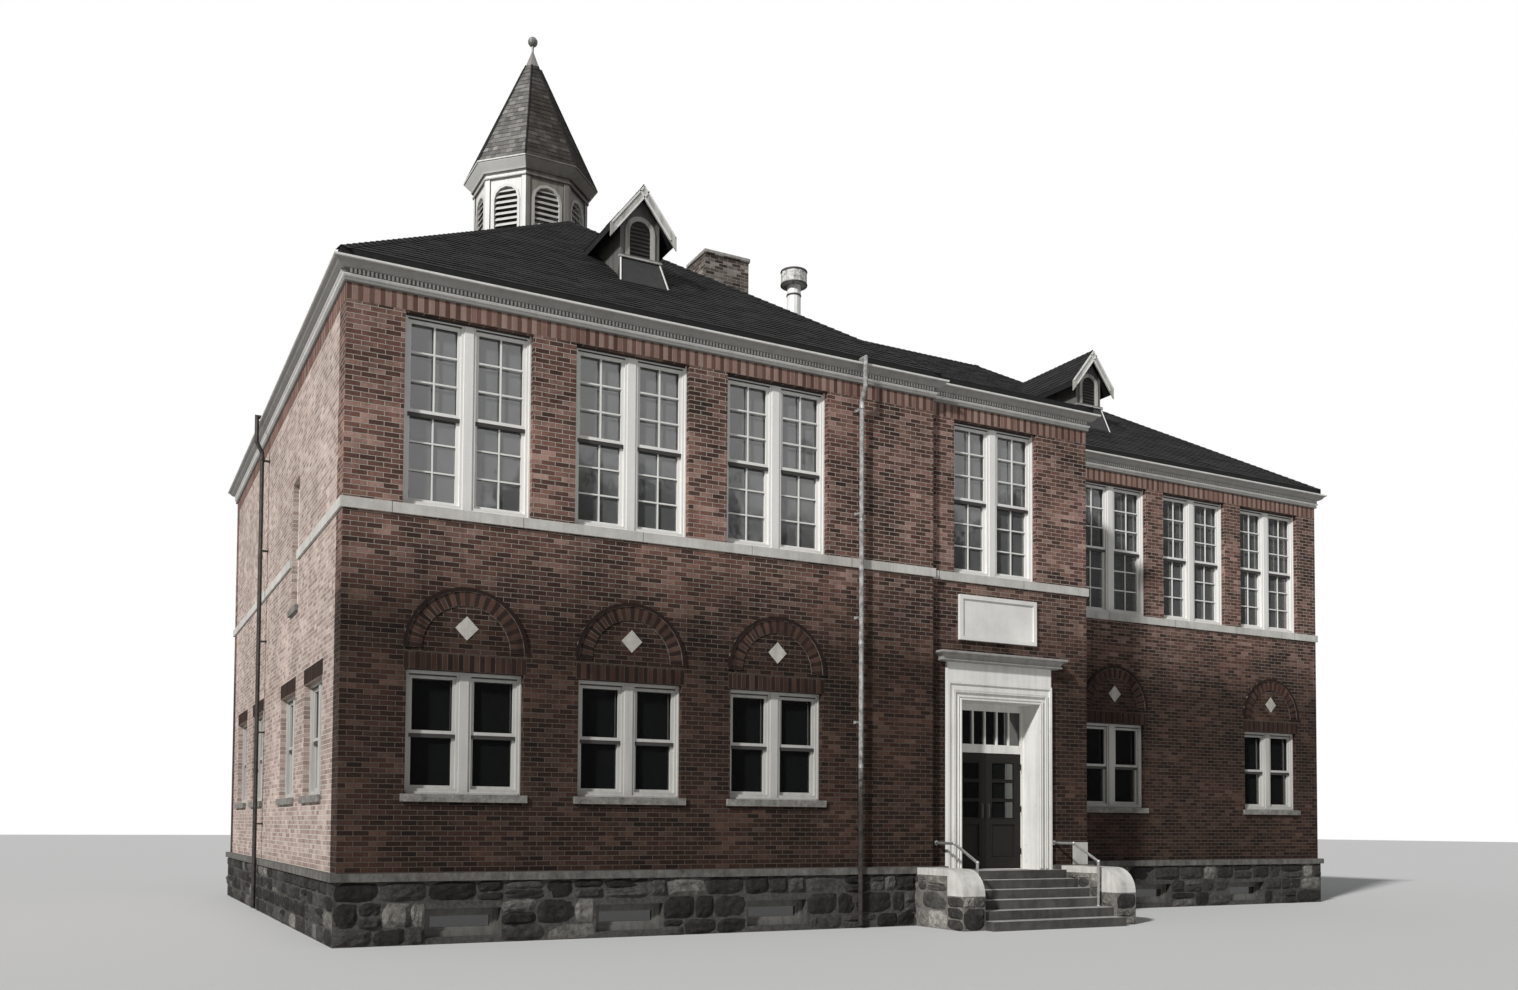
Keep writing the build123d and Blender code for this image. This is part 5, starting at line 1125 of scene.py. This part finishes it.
# Painted light and shade: treads pale as lit, risers dark as in shade.
colour = blend(tree, calc(tree, "GREATER_THAN", rising, 0.5), riser_in_shade, lit_tread)
wear_and_shade = use_group(tree, weather_and_shade, {"Color": colour, "Blotches": 0.3, "Grain": 0.15}).outputs[0]
feed(tree, wear_and_shade, shader, "Base Color")
feed(tree, relief(tree, calc(tree, "ADD", wear, noise(tree, spot, 80.0)), 0.004, 0.8), shader, "Normal")
coping_stone = stone_look("coping_stone", (0.62, 0.605, 0.565, 1), (0.84, 0.825, 0.78, 1), 0.8, 0.004, 3.5)
rail_metal = metal_look("rail_metal", (0.48, 0.48, 0.47, 1), 0.4, 0.8, 0.2)
cheek_face = rubble_look("cheek_face", (0.0, (0.045, 0.043, 0.040, 1)), (0.5, (0.12, 0.115, 0.105, 1)),
                         (0.85, (0.22, 0.21, 0.19, 1)), (1.0, (0.42, 0.40, 0.36, 1)))
cheek_mortar = stone_look("cheek_mortar", (0.13, 0.125, 0.115, 1), (0.30, 0.285, 0.26, 1), 0.95, 0.012, 20.0)
dress(cheek_mortar, "cheek_walls")
dress(step_stone, "entrance_steps")
dress(coping_stone, "cheek_copings")
dress(rail_metal, "handrails")

tread_depth, riser_height, landing_front, landing_top = 0.29, 0.89 / 6, -0.10, 0.89
cheek_front, cheek_back, cheek_turn, cheek_top, nose_top = -1.33, 0.08, -0.91, 0.85, 0.53
mesh = toned_mesh()
for u0, u1, outer in ((cheeks_left, 9.65, -1), (12.42, cheeks_right, 1)):
    rubble(mesh, Wall("x", cheek_front, -1), u0, u1, 0.0, 0.0, nose_top)
    outside, inside = Wall("y", u0 if outer < 0 else u1, outer), Wall("y", u1 if outer < 0 else u0, -outer)
    rubble(mesh, outside, cheek_front, cheek_turn, 0.0, 0.0, nose_top)
    rubble(mesh, outside, cheek_turn, cheek_back, 0.0, 0.0, cheek_top)
    for k in range(4):
        start = landing_front - tread_depth * (k + 1)
        top = cheek_top if start > cheek_turn - 0.1 else nose_top
        foot = landing_top - (k + 1) * riser_height + 0.01
        rubble(mesh, inside, start, start + tread_depth, 0.0, foot, top)
finish(mesh, "cheek_stones", cheek_face)

wall_face, bend, post, rail_high, rail_low, post_foot = 0.112, -0.39, -1.0, 1.36, 1.06, 0.308
mesh = bmesh.new()
left_rail, right_rail = 9.75, 12.32
for x in (left_rail, right_rail):
    rod(mesh, Matrix.Translation(at(x, wall_face, rail_high)) @ level_turn, 16, 0.046, 0.040, 0.018)
    rod(mesh, Matrix.Translation(at(x, post, post_foot)), 16, 0.046, 0.040, 0.018)
    for y, z in ((bend, rail_high), (post, rail_low)):
        elbow = Matrix.Translation(at(x, y, z))
        bmesh.ops.create_uvsphere(mesh, u_segments=14, v_segments=8, radius=0.031, matrix=elbow)
finish(mesh, "rail_fittings", rail_metal, smooth=True)

# Downspouts: round sheet-iron pipes from the eaves to the ground, in lengths slipped into each other at
# collars and strapped to the brackets. The front one is bare pale zinc, painted dark as shade below about 2.5
# m, and the side one keeps its dark old paint.
front_from = -5.0
spout_metal, tree, shader, spot = look("spout_metal", 0.5)
shader.inputs["Metallic"].default_value = 0.3
on_front = calc(tree, "GREATER_THAN", part_of(tree, spot, "X"), front_from)
patch = noise(tree, spot, 9.0, 7.0, 0.7)
pale_zinc = ramp(tree, patch, (0.38, (0.16, 0.155, 0.145, 1)), (0.60, (0.46, 0.455, 0.44, 1)))
dark_paint_and_shade = ramp(tree, patch, (0.40, (0.022, 0.021, 0.020, 1)), (0.70, (0.07, 0.055, 0.045, 1)))
height = calc(tree, "MULTIPLY", part_of(tree, spot, "Z"), 0.1)
height = calc(tree, "ADD", calc(tree, "MULTIPLY", patch, 0.12), height)
# Pale zinc on the front spout above about 2.5 m; below it, painted shade in the old paint's dark.
pale_above_shade_below = calc(tree, "MULTIPLY", ramp(tree, height, (0.27, 0.0), (0.36, 1.0)), on_front)
feed(tree, blend(tree, pale_above_shade_below, dark_paint_and_shade, pale_zinc), shader, "Base Color")
feed(tree, relief(tree, patch, 0.0012, 0.4), shader, "Normal")
dress(spout_metal, "downspouts")
front_spout, side_spout, spout_out, collar_heights = 8.08, 7.8, 0.136, (0.75, 2.6, 4.6, 6.6, 8.45)
strap_half, first_strap, last_strap, straps = 0.055, 1.60, 8.40, 5
mesh = bmesh.new()
for wall, u in ((front_wing, front_spout), (left_side, side_spout)):
    for z in collar_heights:
        rod(mesh, Matrix.Translation(wall.point(u, spout_out, z)), 14, 0.046, 0.043, 0.06)
    for i in range(straps):
        z = first_strap + (last_strap - first_strap) * i / (straps - 1)
        batten(mesh, wall, u - strap_half, u + strap_half, 0.0, 0.010, z - 0.01, z + 0.04)
finish(mesh, "spout_collars", spout_metal)

# Camera: it stands where the picture was taken from, low on the left in front of the building, and looks
# right along the front with the lens shifted up.
eye = at(-2.944, -17.311, 1.645)
yaw, pitch, roll = radians(28.09), radians(2.125), radians(0.337)
right = Vector((cos(yaw), -sin(yaw), 0))
forward = Vector((sin(yaw) * cos(pitch), cos(yaw) * cos(pitch), sin(pitch)))
upward = right.cross(forward)
turned_right = right * cos(roll) + upward * sin(roll)
turned_up = upward * cos(roll) - right * sin(roll)
camera_data = bpy.data.cameras.new("camera")
camera_data.lens, camera_data.sensor_width = 30.0, 36.0
camera_data.shift_y = 0.1865
camera_data.clip_end = 400
camera = bpy.data.objects.new("camera", camera_data)
axes = Matrix((turned_right, turned_up, -forward)).transposed().to_4x4()
camera.matrix_world = Matrix.Translation(eye) @ axes
bpy.context.scene.collection.objects.link(camera)
bpy.context.scene.camera = camera

# Floor, light and sky: a pale floor, one soft lamp from far left that rakes the front, and an even sky.
# Mirrored rays see a dark, uneven band low down and a bright sky over it.
floor_half = 150
mesh = bmesh.new()
bmesh.ops.create_grid(mesh, x_segments=1, y_segments=1, size=floor_half)
floor_data = bpy.data.meshes.new("floor")
mesh.to_mesh(floor_data)
mesh.free()
floor = bpy.data.objects.new("floor", floor_data)
bpy.context.scene.collection.objects.link(floor)
floor_look, tree, shader, spot = look("pale_floor", 0.9)
shader.inputs["Base Color"].default_value = (0.60, 0.60, 0.59, 1)
floor_data.materials.append(floor_look)

sun_side, sun_height = radians(61), radians(32)
sun_data = bpy.data.lights.new("sun", "SUN")
sun_data.energy = 3.65
sun_data.angle = radians(4)
sun = bpy.data.objects.new("sun", sun_data)
direction = Vector((sin(sun_side) * cos(sun_height), cos(sun_side) * cos(sun_height), -sin(sun_height)))
sun.rotation_euler = direction.to_track_quat("-Z", "Y").to_euler()
bpy.context.scene.collection.objects.link(sun)

world = bpy.data.worlds.new("sky")
bpy.context.scene.world = world
world.use_nodes = True
tree = world.node_tree
rays = tree.nodes.new("ShaderNodeLightPath")
outward = tree.nodes.new("ShaderNodeTexCoord").outputs["Generated"]
ragged = calc(tree, "SUBTRACT", noise(tree, outward, 9.0, 6.0, 0.7), 0.5)
height = calc(tree, "ADD", part_of(tree, outward, "Z"), calc(tree, "MULTIPLY", ragged, 0.3))
mirrored = ramp(tree, height, (0.10, 0.010), (0.24, 0.04), (0.27, 0.85), (0.6, 1.0))
lit = put(tree, "ShaderNodeBackground", {"Color": (0.95, 0.97, 1.0, 1), "Strength": 0.24})
seen = put(tree, "ShaderNodeBackground", {"Color": (1, 1, 1, 1), "Strength": 1.0})
glossy = put(tree, "ShaderNodeBackground", {"Color": mirrored, "Strength": 1.0})
is_mirrored, is_seen = rays.outputs["Is Glossy Ray"], rays.outputs["Is Camera Ray"]
first = put(tree, "ShaderNodeMixShader", {0: is_mirrored, 1: lit.outputs[0], 2: glossy.outputs[0]})
second = put(tree, "ShaderNodeMixShader", {0: is_seen, 1: first.outputs[0], 2: seen.outputs[0]})
tree.links.new(second.outputs[0], tree.nodes["World Output"].inputs["Surface"])
bpy.context.scene.view_settings.view_transform = "Standard"
